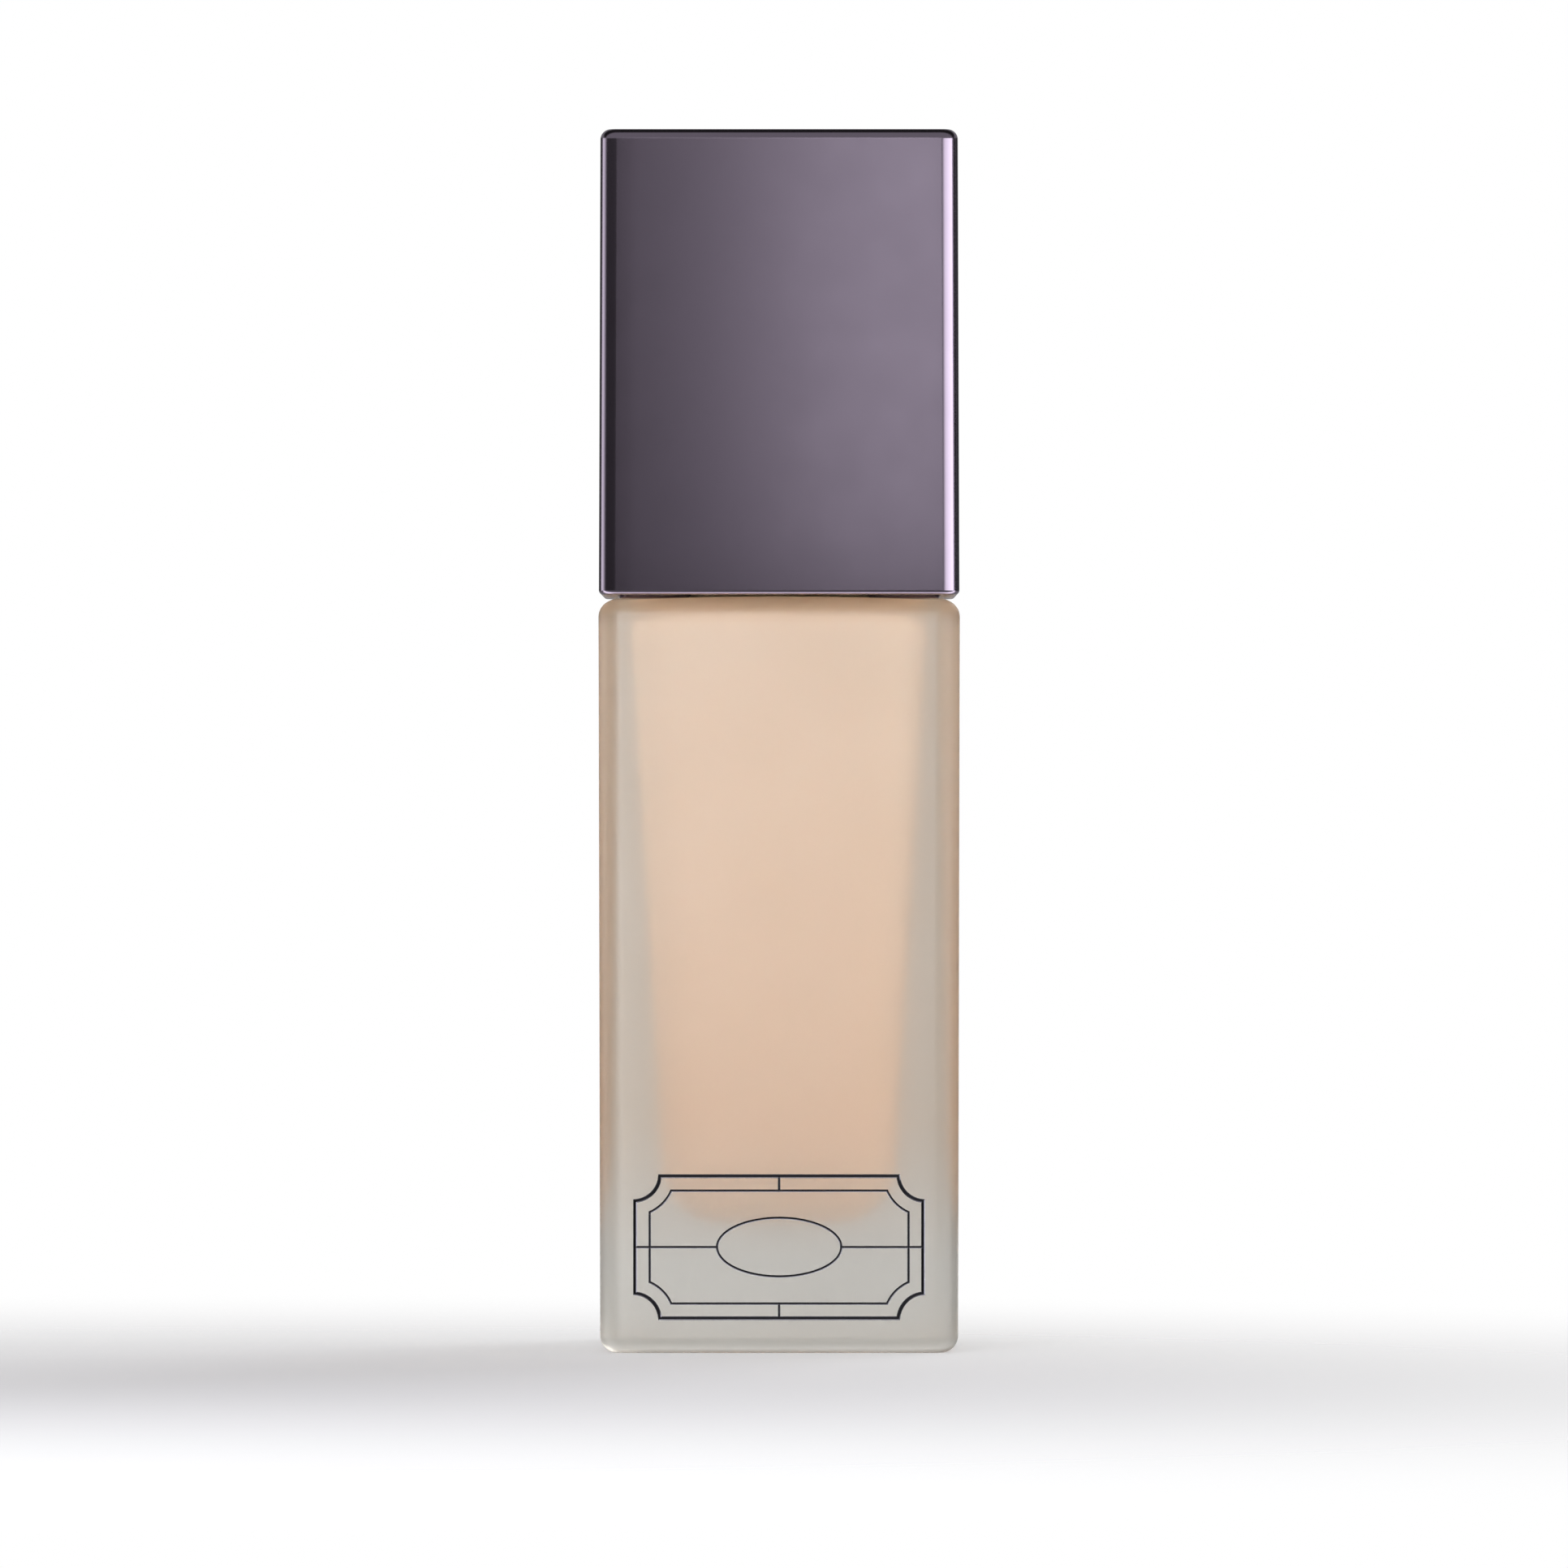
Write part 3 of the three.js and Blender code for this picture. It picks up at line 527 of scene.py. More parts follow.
def neckSwell(angle, z):
    away = abs(z - glass["beadHeight"]) / glass["beadHalf"]
    bead = glass["beadRise"] * (1 + math.cos(math.pi * away)) / 2 if away < 1 else 0
    return max(bead, threadBump(angle, z, neckThread))


def makeBottle():
    height, edge, corner = glass["height"], glass["edgeRadius"], glass["cornerRadius"]
    rings = [squareRing(glass["recessHalf"] * share, glass["recessCorner"] * share, glass["recessDepth"])
             for share in (0.3, 0.7, 0.98)]
    for a in quarter(4):  # out of the shallow recess onto the ring that it stands on
        rings.append(squareRing(glass["recessHalf"] + glass["standEdge"] * math.sin(a), glass["standCorner"],
                                glass["recessDepth"] * math.cos(a)))
    for a in quarter(10):
        inset = edge * (1 - math.sin(a))
        rings.append(squareRing(wallHalf(0) - inset, corner - inset, edge * (1 - math.cos(a))))
    for step in range(1, glass["wallRows"]):
        z = edge + (height - 2 * edge) * step / glass["wallRows"]
        rings.append(squareRing(wallHalf(z), corner, z))
    for a in reversed(quarter(10)):
        inset = edge * (1 - math.sin(a))
        rise = glass["crown"] * (1 - math.sin(a)) if a < math.pi / 2 else 0
        rings.append(squareRing(wallHalf(height) - inset, corner - inset,
                                height - glass["cornerDrop"] - edge * (1 - math.cos(a)), rise))
    crest = height - glass["cornerDrop"] + glass["crown"]
    flatRing, rootRing = rings[-1], circleRing(glass["neckRadius"] + glass["neckRoot"], crest)
    for share in (0.35, 0.7, 1):
        rings.append([tuple(a + (b - a) * share for a, b in zip(p, q)) for p, q in zip(flatRing, rootRing)])
    for a in quarter(6)[1:]:
        rings.append(circleRing(glass["neckRadius"] + glass["neckRoot"] * (1 - math.sin(a)),
                                crest + glass["neckRoot"] * (1 - math.cos(a))))
    start, end = crest + glass["neckRoot"], neckTop - glass["lipFillet"]
    for step in range(1, glass["neckRows"] + 1):
        rings.append(circleRing(glass["neckRadius"], start + (end - start) * step / glass["neckRows"],
                                neckSwell))
    for a in reversed(quarter(6)[:-1]):
        rings.append(circleRing(glass["neckRadius"] - glass["lipFillet"] * (1 - math.sin(a)),
                                neckTop - glass["lipFillet"] * (1 - math.cos(a))))
    for a in quarter(5):
        rings.append(circleRing(glass["boreRadius"] + glass["mouthFillet"] * (1 - math.sin(a)),
                                neckTop - glass["mouthFillet"] * (1 - math.cos(a))))
    outside = len(rings)
    boreTop, boreFoot = neckTop - glass["mouthFillet"], glass["cavityCeiling"] + glass["boreFlare"]
    for step in range(1, glass["boreRows"] + 1):
        rings.append(circleRing(glass["boreRadius"],
                                boreTop - (boreTop - boreFoot) * step / glass["boreRows"]))
    flare = 0.3 * glass["boreFlare"]  # a ring part-way round the flare at the bore's foot
    rings.append(circleRing(glass["boreRadius"] + flare, glass["cavityCeiling"] + flare))
    inside = list(reversed(cavityRings()))
    boreRing = circleRing(glass["boreRadius"] + glass["boreFlare"], glass["cavityCeiling"])
    for share in (0, 0.5):
        rings.append([tuple(a + (b - a) * share for a, b in zip(p, q)) for p, q in zip(boreRing, inside[0])])
    rings += inside
    zones = [0 if band < outside else 1 for band in range(len(rings) - 1)]
    return loft("glassBottle", rings, zones)


place("glassBottle", "glass_bottle", makeBottle(), [made["acidEtchedGlass"], made["firePolishedGlass"]])

liquid = {
    "overlap": 0.03,  # it wets the glass, so no air shows between them
    "pumpGap": 0.4, "housingRadius": 4.6, "spigotRadius": 2.5, "tubeRadius": 1.65,
    "housingShoulder": -15.7, "coneBottom": -20.2, "spigotBottom": -26.7, "tubeBottom": -63.2,
}


def makeLiquid():
    rings = cavityRings(liquid["overlap"])
    gap = liquid["pumpGap"]
    profile = [
        (liquid["housingRadius"] + gap, glass["cavityCeiling"] + liquid["overlap"]),
        (liquid["housingRadius"] + gap, neckTop + liquid["housingShoulder"] - gap),
        (liquid["spigotRadius"] + gap, neckTop + liquid["coneBottom"] - gap),
        (liquid["spigotRadius"] + gap, neckTop + liquid["spigotBottom"] - gap),
        (liquid["tubeRadius"] + gap, neckTop + liquid["spigotBottom"] - gap),
        (liquid["tubeRadius"] + gap, neckTop + liquid["tubeBottom"] - gap / 2),
    ]
    return loft("foundationLiquid", rings + [circleRing(r, z) for r, z in profile])


place("foundationLiquid", "foundation_fill", makeLiquid(), [made["pigmentedEmulsion"]])
print("bottle and liquid built")

# A plain plaque outline with an oval. Line widths are those of a foil die.
plaque = {
    "halfWidth": 12.9, "halfHeight": 6.45, "centreHeight": 9.4, "notch": 2.2,
    "outerLine": 0.34, "innerInset": 1.35, "innerLine": 0.22, "ovalHalfWidth": 5.6, "ovalHalfHeight": 2.7,
    "rise": 0.06, "lip": 0.005, "sunk": 0.03, "outerBevel": 0.09, "innerBevel": 0.06,
}


def plaquePath(inset):
    scoop = plaque["notch"] + inset
    lead = math.asin(inset / scoop)
    points = []
    signs = [(1, 1), (-1, 1), (-1, -1), (1, -1)]
    for i, (sx, sz) in enumerate(signs):
        first, last = (i + 3) * math.pi / 2 - lead, (i + 2) * math.pi / 2 + lead
        for k in range(13):
            a = first + (last - first) * k / 12
            points.append((sx * plaque["halfWidth"] + scoop * math.cos(a),
                           sz * plaque["halfHeight"] + scoop * math.sin(a)))
    return points


def ovalPath(inset):
    return [((plaque["ovalHalfWidth"] - inset) * math.cos(a), (plaque["ovalHalfHeight"] - inset) * math.sin(a))
            for a in (2 * math.pi * k / 96 for k in range(96))]


# A flat foil line with bevelled edges along a path on the front wall.
def foilLine(bm, path, width, bevel, closed=True):
    count, half = len(path), width / 2
    section = ((-half, -plaque["sunk"]), (-half, plaque["lip"]), (bevel - half, plaque["rise"]),
               (half - bevel, plaque["rise"]), (half, plaque["lip"]), (half, -plaque["sunk"]))
    rows = []
    for i, (x, z) in enumerate(path):
        here = Vector((x, z))
        back = Vector(path[i - 1]) if closed or i else here
        ahead = Vector(path[(i + 1) % count]) if closed or i < count - 1 else here
        inward, outward = (here - back).normalized(), (ahead - here).normalized()
        inward, outward = (inward if inward.length else outward), (outward if outward.length else inward)
        along = (inward + outward).normalized()
        across = Vector((-along.y, along.x))
        miter = 1 / max(0.5, abs(along.dot(inward)))
        row = []
        for offset, rise in section:
            point = here + across * offset * miter
            height = plaque["centreHeight"] + point.y
            row.append(bm.verts.new((point.x, -(wallHalf(height) + rise), height)))
        rows.append(row)
    pairs = list(zip(rows, rows[1:] + rows[:1])) if closed else list(zip(rows, rows[1:]))
    for lower, upper in pairs:
        for i in range(len(section)):
            j = (i + 1) % len(section)
            bm.faces.new((lower[i], lower[j], upper[j], upper[i]))
    if not closed:
        bm.faces.new(rows[0])
        bm.faces.new(reversed(rows[-1]))


def makeOrnament():
    bm = bmesh.new()
    outer, inner, bevel = plaque["outerLine"], plaque["innerLine"], plaque["innerBevel"]
    gap = plaque["innerInset"] + inner / 2
    wide, tall = plaque["halfWidth"], plaque["halfHeight"]
    foilLine(bm, plaquePath(outer / 2), outer, plaque["outerBevel"])
    foilLine(bm, plaquePath(gap), inner, bevel)
    foilLine(bm, ovalPath(inner / 2), inner, bevel)
    for side in (-1, 1):  # short bars join the outlines at the middle of each side
        foilLine(bm, [(side * (wide - outer / 2), 0), (side * (wide - gap), 0)], inner, bevel, False)
        foilLine(bm, [(0, side * (tall - outer / 2)), (0, side * (tall - gap))], inner, bevel, False)
        foilLine(bm, [(side * (wide - gap), 0), (side * (plaque["ovalHalfWidth"] - inner / 2), 0)],
                 inner, bevel, False)
    bmesh.ops.recalc_face_normals(bm, faces=bm.faces)
    mesh = bpy.data.meshes.new("foilOrnament")
    bm.to_mesh(mesh)
    bm.free()
    return mesh


place("foilOrnament", "foil_ornament", makeOrnament(), [made["hotStampedFoil"]], sharpAngle=25)
print("ornament built")


# Heights are from the neck's top edge. Each corner is (radius, height, fillet).
pumpProfiles = {
    "neckGasket": ("neck_gasket", "closedCellFoam", [
        (5.2, 0.05, 0.1), (7.7, 0.05, 0.15), (7.7, 0.95, 0.15), (5.2, 0.95, 0.1)]),
    "pumpHousing": ("pump_housing", "mouldedNaturalPolypropylene", [
        (1.75, -26.7, 0.1), (2.5, -26.7, 0.25), (2.5, -20.2, 0.6), (4.6, -15.7, 0.8), (4.6, 1.0, 0.3),
        (7.6, 1.0, 0.12), (7.6, 1.9, 0.2), (3.4, 1.9, 0.2), (3.4, -15.7, 0.15), (1.25, -16.1, 0.12),
        (1.25, -16.7, 0.1), (1.75, -17.0, 0.1), (1.75, -19.1, 0.15), (0.9, -19.9, 0.15), (0.9, -20.9, 0.1),
        (1.75, -20.9, 0.1)]),
    "lowerStem": ("lower_stem", "mouldedNaturalPolypropylene", [
        (0.6, -7.9, 0.1), (1.85, -7.9, 0.3), (1.85, -6.05, 0.15), (3.0, -6.05, 0.15), (3.0, -5.15, 0.15),
        (1.3, -5.15, 0.2), (1.3, 0.8, 0.15), (0.6, 0.8, 0.1)]),
    "piston": ("piston", "mouldedWhitePolyethylene", [
        (1.45, -5.05, 0.08), (3.1, -5.05, 0.1), (3.27, -4.7, 0.12), (2.7, -4.0, 0.3), (2.7, -2.95, 0.3),
        (3.27, -2.25, 0.12), (3.1, -1.9, 0.1), (1.45, -1.9, 0.08)]),
    "upperStem": ("upper_stem", "mouldedNaturalPolypropylene", [
        (1.4, -1.8, 0.08), (2.55, -1.8, 0.12), (2.55, 15.3, 0.3), (1.45, 15.3, 0.1), (1.45, 11.4, 0.1),
        (0.8, 10.8, 0.15), (0.8, 0.95, 0.1), (1.4, 0.95, 0.1)]),
    "stemChaplet": ("stem_chaplet", "mouldedWhitePolyethylene", [
        (2.75, -1.75, 0.08), (3.25, -1.75, 0.12), (3.25, 2.0, 0.12), (7.6, 2.0, 0.12), (7.6, 2.8, 0.15),
        (4.4, 2.8, 0.5), (4.4, 5.3, 0.35), (2.75, 5.3, 0.2)]),
}
for name, (node, finish, corners) in pumpProfiles.items():
    place(name, node, turned(name, corners, neckTop), [made[finish]])

tube = {"radius": 1.65, "bore": 1.05, "top": -21.0, "bottom": -63.2, "slant": 40}


def makeDipTube():
    corners = [(tube["bore"], tube["bottom"] - 1), (tube["radius"], tube["bottom"] - 1),
               (tube["radius"], tube["top"], 0.1), (tube["bore"], tube["top"], 0.1)]
    mesh = turned("dipTube", corners, neckTop, sides=64)
    bm = bmesh.new()  # the foot is cut on the slant, so it can't seal itself against the glass
    bm.from_mesh(mesh)
    lean = math.radians(tube["slant"])
    corner = Vector((-tube["radius"], 0, neckTop + tube["bottom"]))
    cut = bmesh.ops.bisect_plane(bm, geom=bm.verts[:] + bm.edges[:] + bm.faces[:], plane_co=corner,
                                 plane_no=(math.sin(lean), 0, -math.cos(lean)), clear_outer=True)
    edges = [item for item in cut["geom_cut"] if isinstance(item, bmesh.types.BMEdge)]
    bmesh.ops.bridge_loops(bm, edges=edges)
    bmesh.ops.recalc_face_normals(bm, faces=bm.faces)
    bm.to_mesh(mesh)
    bm.free()
    return mesh


place("dipTube", "dip_tube", makeDipTube(), [made["extrudedClearPolyethylene"]])

balls = {"inletBall": ("inlet_ball", 1.4), "outletBall": ("outlet_ball", 1.15)}
for name, (node, radius) in balls.items():
    middle = (low(node) + high(node)) / 2
    corners = [(radius * math.sin(math.pi * k / 24), -radius * math.cos(math.pi * k / 24)) for k in range(25)]
    place(name, node, turned(name, corners, middle, sides=48), [made["polishedStainlessSteel"]])

spring = {
    "wire": 0.28, "coil": 2.45, "turns": 7.5, "closedTurns": 1.0, "closedPitch": 0.68, "stepsPerTurn": 36,
}


def makeSpring():
    bottom, top = low("return_spring") + spring["wire"], high("return_spring") - spring["wire"]
    closedRise = spring["closedTurns"] * spring["closedPitch"]
    openPitch = (top - bottom - 2 * closedRise) / (spring["turns"] - 2 * spring["closedTurns"])
    path = []
    for k in range(int(spring["turns"] * spring["stepsPerTurn"]) + 1):
        turn = k / spring["stepsPerTurn"]
        if turn < spring["closedTurns"]:
            z = bottom + turn * spring["closedPitch"]
        elif turn > spring["turns"] - spring["closedTurns"]:
            z = top - (spring["turns"] - turn) * spring["closedPitch"]
        else:
            z = bottom + closedRise + (turn - spring["closedTurns"]) * openPitch
        angle = 2 * math.pi * turn
        path.append(Vector((spring["coil"] * math.cos(angle), spring["coil"] * math.sin(angle), z)))
    return bar("returnSpring", path, spring["wire"], sides=10)


returnSpring = place("returnSpring", "return_spring", makeSpring(), [made["drawnSpringWire"]],
                     sharpAngle=60, weighted=False)
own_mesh(returnSpring)
print("pump engine built")


closureThread = {**neckThread, "start": -7.8875, "height": 0.7, "halfWidth": 0.75}
closure = {
    "inner": 9.05, "outer": 10.6, "bottom": -8.7, "top": 4.2, "underTop": 2.9, "hole": 5.0, "fillet": 0.3,
}
onRadius = 0.01  # a point this near a wall's radius is on the wall


def closureSwell(angle, r, z):
    onWall = abs(r - closure["inner"]) < onRadius and z < closure["underTop"] - closure["fillet"]
    return -threadBump(angle, z, closureThread) if onWall else 0


closureCorners = [
    (closure["inner"], closure["bottom"], 0.25), (closure["outer"], closure["bottom"], 0.2),
    (closure["outer"], closure["top"], 0.4), (closure["hole"], closure["top"], 0.2),
    (closure["hole"], closure["underTop"], 0.2),
    (closure["inner"], closure["underTop"], closure["fillet"]),
]
place("screwClosure", "screw_closure",
      turned("screwClosure", closureCorners, neckTop, sides=144, swell=closureSwell, rowStep=0.22),
      [made["sparkErodedBlackPolypropylene"]])

collarCorners = [
    (10.7, -8.9, 0.12), (11.1, -8.9, 0.18), (11.1, -6.3, 0.3), (10.98, -5.6, 0.4), (11.1, -4.9, 0.3),
    (11.1, 4.9, 0.8), (9.35, 4.9, 0.25), (9.35, 10.8, 0.35), (8.85, 10.8, 0.12), (8.85, 4.3, 0.1),
    (10.7, 4.3, 0.1),
]
place("collarShell", "collar_shell", turned("collarShell", collarCorners, neckTop, sides=144),
      [made["metallisedAbs"]])
print("closure and collar built")


# Heights are from the bottom of the actuator's skirt.
skirtBottom = low("actuator_body")
actuator = {
    "channelHeight": 8.5, "channel": 1.0, "channelStart": 0.6, "seat": 1.95, "seatDepth": 5.2,
    "window": 2.0, "windowStart": 7, "reach": 9.4,
    "top": 14, "dish": 0.6, "dishRadius": 7.6, "dishRows": 6,
}


# A turned piece that points forwards from the actuator's channel.
def forward(name, corners, sides):
    mesh = turned(name, corners, sides=sides)
    mesh.transform(toFront)
    mesh.transform(Matrix.Translation((0, 0, skirtBottom + actuator["channelHeight"])))
    return mesh


def makeActuatorBody():
    corners = [
        (0, 4.4), (0.45, 4.4, 0.15), (0.45, 8.5, 0.1), (1.0, 8.5, 0.1), (1.0, 6.2, 0.1), (2.65, 6.2, 0.15),
        (2.65, 0.8, 0.25), (4.2, 0.8, 0.25), (4.2, 7.0, 0.4), (7.2, 7.0, 0.4), (7.2, 0, 0.2), (8.2, 0, 0.25),
        (8.2, 13.0, 0.4), (0, 13.0)]
    seat, depth, reach = actuator["seat"], actuator["seatDepth"], actuator["reach"]
    channel, start = actuator["channel"], actuator["channelStart"]
    cutter = forward("channel", [(0, start), (channel, start), (channel, depth), (seat, depth), (seat, reach),
                                 (0, reach)], sides=48)
    return cutOut(turned("actuatorBody", corners, skirtBottom), cutter)


def makeActuatorShell():
    top, reach = actuator["top"], actuator["reach"]
    window, start = actuator["window"], actuator["windowStart"]
    dish = [(actuator["dishRadius"] * share, top - actuator["dish"] * (1 - share ** 2))
            for share in (1 - k / actuator["dishRows"] for k in range(1, actuator["dishRows"]))]
    corners = [(0, 13.1), (8.3, 13.1, 0.3), (8.3, 0.1, 0.06), (8.6, 0.1, 0.12), (8.6, top, 0.9), *dish,
               (0, top - actuator["dish"])]
    cutter = forward("window", [(0, start), (window, start), (window, reach), (0, reach)], sides=48)
    return cutOut(turned("actuatorShell", corners, skirtBottom, sides=144), cutter)


def makeNozzle():
    corners = [(0.55, 5.3, 0.05), (1.85, 5.3, 0.15), (1.85, 8.75, 0.3), (0.95, 8.75, 0.15), (0.55, 8.15, 0.05)]
    return forward("nozzleInsert", corners, sides=64)


place("actuatorBody", "actuator_body", makeActuatorBody(), [made["sparkErodedBlackPolypropylene"]])
place("actuatorShell", "actuator_shell", makeActuatorShell(), [made["metallisedAbs"]])
place("nozzleInsert", "nozzle_insert", makeNozzle(), [made["sparkErodedBlackPolypropylene"]])
print("actuator built")


# Heights are from the cap's bottom rim.
capBottom = low("cap_shell")
cap = {
    "height": 41.2, "rimHalf": 15.96, "topHalf": 15.82,
    "cornerRadius": 1.5, "topRadius": 0.9, "rimRadius": 0.4,
    "innerHalf": 14.4, "innerHeight": 39.6, "innerCorner": 1.15, "innerFillet": 0.8, "innerRim": 0.2,
    "wallRows": 8,
}


def makeCap():
    def outerHalf(z):
        return cap["rimHalf"] + (cap["topHalf"] - cap["rimHalf"]) * z / cap["height"]

    half, corner, fillet, rim = cap["innerHalf"], cap["innerCorner"], cap["innerFillet"], cap["innerRim"]
    rings = [squareRing(half * share, corner * share, cap["innerHeight"]) for share in (0.25, 0.6, 0.9)]
    for a in reversed(quarter(4)):
        rings.append(squareRing(half - fillet + fillet * math.cos(a), corner,
                                cap["innerHeight"] - fillet + fillet * math.sin(a)))
    rings.append(squareRing(half, corner, rim))
    for a in quarter(3)[1:]:
        rings.append(squareRing(half + rim * (1 - math.cos(a)), corner, rim * (1 - math.sin(a))))
    for a in quarter(5):
        inset = cap["rimRadius"] * (1 - math.sin(a))
        rings.append(squareRing(outerHalf(0) - inset, cap["cornerRadius"] - inset,
                                cap["rimRadius"] * (1 - math.cos(a))))
    for step in range(1, cap["wallRows"]):
        z = cap["rimRadius"] + (cap["height"] - cap["topRadius"] - cap["rimRadius"]) * step / cap["wallRows"]
        rings.append(squareRing(outerHalf(z), cap["cornerRadius"], z))
    for a in reversed(quarter(10)):
        inset = cap["topRadius"] * (1 - math.sin(a))
        rings.append(squareRing(outerHalf(cap["height"]) - inset, cap["cornerRadius"] - inset,
                                cap["height"] - cap["topRadius"] * (1 - math.cos(a))))
    for share in (0.8, 0.4):
        rings.append(squareRing((outerHalf(cap["height"]) - cap["topRadius"]) * share,
                                (cap["cornerRadius"] - cap["topRadius"]) * share, cap["height"]))
    return loft("capShell", [[(x, y, z + capBottom) for x, y, z in ring] for ring in rings])


place("capShell", "cap_shell", makeCap(), [made["metallisedAbs"]])

liner = {
    "bottom": 0.4, "bore": 11.5, "radius": 12.6, "ceiling": 38.3, "top": 39.3,
    "flangeHalf": 14.25, "flangeTop": 1.8, "flangeCorner": 1.1, "flangeEdge": 0.2,
    "web": 1.1, "webEdge": 0.15, "webLift": 0.05, "reach": 19.4,
    "sink": 0.5,  # how far the flange and the webs run into the cup's wall
    "beadRise": 0.18, "beadHeight": 3.6, "beadHalf": 1.2,
}


def linerSwell(angle, r, z):
    away = abs(z - liner["beadHeight"]) / liner["beadHalf"]
    onBore = abs(r - liner["bore"]) < onRadius and away < 1
    return -liner["beadRise"] * (1 + math.cos(math.pi * away)) / 2 if onBore else 0


def makeLiner():
    cup = turned("cup", [
        (0, liner["ceiling"]), (liner["bore"], liner["ceiling"], 0.8), (liner["bore"], liner["bottom"], 0.3),
        (liner["radius"], liner["bottom"], 0.1), (liner["radius"], liner["top"], 0.5), (0, liner["top"])],
        capBottom, sides=144, swell=linerSwell, rowStep=0.3)
    half, corner, edge = liner["flangeHalf"], liner["flangeCorner"], liner["flangeEdge"]
    bottom, top, inner = liner["bottom"], liner["flangeTop"], liner["bore"] + liner["sink"]
    rings = [circleRing(inner, bottom), squareRing(half - edge, corner - edge, bottom),
             squareRing(half, corner, bottom + edge), squareRing(half, corner, top - edge),
             squareRing(half - edge, corner - edge, top), circleRing(inner, top)]
    flange = loft("flange", [[(x, y, z + capBottom) for x, y, z in ring] for ring in rings], joinEnds=True)
    webs = []
    for turn in range(0, 360, 45):
        reach = half if turn % 90 == 0 else liner["reach"]
        lowest = (liner["radius"] - liner["sink"], -liner["web"] / 2, capBottom + bottom + liner["webLift"])
        highest = (reach, liner["web"] / 2, capBottom + liner["top"])
        webs.append(block("web", lowest, highest, liner["webEdge"], turn))
    return joined("capLiner", [cup, flange, *webs])


place("capLiner", "cap_liner", makeLiner(), [made["mouldedWhitePolypropylene"]])
print("cap and liner built")


# In metres, but for the stipple's size. The floor's grey is a painted soft shadow: the floor shows fully at
# the shadow's centre, which is a little in front of the bottle and to its left, and thins out away from it.
board = {
    "radius": 1.4, "rings": 24, "sides": 96, "colour": "#c3c5cb", "roughness": 0.8, "gloss": 0.1,
    "stipple": 6, "stippleDepth": 0.0002, "paintedShadowCentre": (-0.04, -0.09, 0), "paintedShadowReach": 0.22,
}


def makeFloor():
    rings = []
    for i in range(1, board["rings"] + 1):
        r = board["radius"] * (i / board["rings"]) ** 2
        rings.append([(r * math.cos(a), -r * math.sin(a), 0)
                      for a in (2 * math.pi * k / board["sides"] for k in range(board["sides"]))])
    return loft("studioFloor", rings, closeEnd=False)


def makeFloorMaterial():
    material, tree, shader, place = newMaterial("studioFloorWithPaintedShadow")
    # matt pale grey board with a faint roller stipple; the grey is a painted soft shadow, which thins out into
    # the white surround
    stipple = addNode(tree, "ShaderNodeTexNoise", {"Scale": perMetre(board["stipple"]), "Detail": 3.0},
                      {"Vector": place})
    relief = addNode(tree, "ShaderNodeBump", {"Strength": 0.05, "Distance": board["stippleDepth"]},
                     {"Height": stipple.outputs["Fac"]})
    tree.links.new(relief.outputs["Normal"], shader.inputs["Normal"])
    shader.inputs["Base Color"].default_value = linear(board["colour"])
    shader.inputs["Roughness"].default_value = board["roughness"]
    shader.inputs["Specular IOR Level"].default_value = board["gloss"]
    # painted shadow: the board shows fully at the shadow's centre and turns clear by its reach
    distance = addNode(tree, "ShaderNodeVectorMath", {"operation": "DISTANCE", 1: board["paintedShadowCentre"]},
                       {0: place})
    fade = addNode(tree, "ShaderNodeMapRange",
                   {"From Min": 0.0, "From Max": board["paintedShadowReach"], "interpolation_type": "SMOOTHSTEP"},
                   {"Value": distance.outputs["Value"]})
    clear = addNode(tree, "ShaderNodeBsdfTransparent")
    blend = addNode(tree, "ShaderNodeMixShader", {},
                    {0: fade.outputs["Result"], 1: shader.outputs["BSDF"], 2: clear.outputs["BSDF"]})
    tree.links.new(blend.outputs["Shader"], tree.nodes["Material Output"].inputs["Surface"])
    return material


floorMesh = makeFloor()
floorMesh.materials.append(makeFloorMaterial())
studioFloor = bpy.data.objects.new("studioFloor", floorMesh)
studioFloor.visible_glossy = False
frameScene.collection.objects.link(studioFloor)


# Flats all round the set, as stops of (degrees, brightness). "around" goes by the compass: 0 is in front and
# + is to the right. "over" goes over the top: 0 is in front, 90 overhead, 180 behind, and - passes underneath.
surround = {
    "around": ((-180, 0.34), (-160, 0.28), (-148, 0.05), (-122, 0.05), (-112, 2.3), (-94, 1.7), (-82, 0.4),
               (-74, 0.03), (-8, 0.04), (4, 0.05), (10, 0.5), (16, 1.8), (24, 3.1), (45, 3.9), (80, 4.9),
               (84, 0.24), (96, 0.24), (99, 0.02), (114, 0.02), (117, 0.35), (119, 0.35), (122, 0.02),
               (146, 0.05), (156, 0.4), (180, 0.34)),
    "over": ((-180, 0.3), (-118, 0.4), (-106, 3.4), (-72, 3.4), (-58, 0.1), (-45, 0.3), (-20, 0.3), (-8, 0.1),
             (10, 0.42), (74, 0.42), (84, 0.02), (132, 0.02), (143, 0.42), (180, 0.34)),
    "levelBelow": 0.09, "overAbove": 0.19,  # "around" rules below the first slope, and "over" above the second
    "room": "#dbd4cc", "roomLevel": 0.84,  # what lights the surfaces that don't mirror
    "backdrop": 1.0,
}


def brightnessByAngle(tree, sine, cosine, stops):
    angle = addNode(tree, "ShaderNodeMath", {"operation": "ARCTAN2"}, {0: sine, 1: cosine})
    share = addNode(tree, "ShaderNodeMapRange", {"From Min": -math.pi, "From Max": math.pi},
                    {"Value": angle.outputs["Value"]})
    ramp = addNode(tree, "ShaderNodeValToRGB", {}, {"Fac": share.outputs["Result"]})
    fillRamp(ramp.color_ramp, [((degrees + 180) / 360, (value, value, value, 1)) for degrees, value in stops])
    return ramp.outputs["Color"]


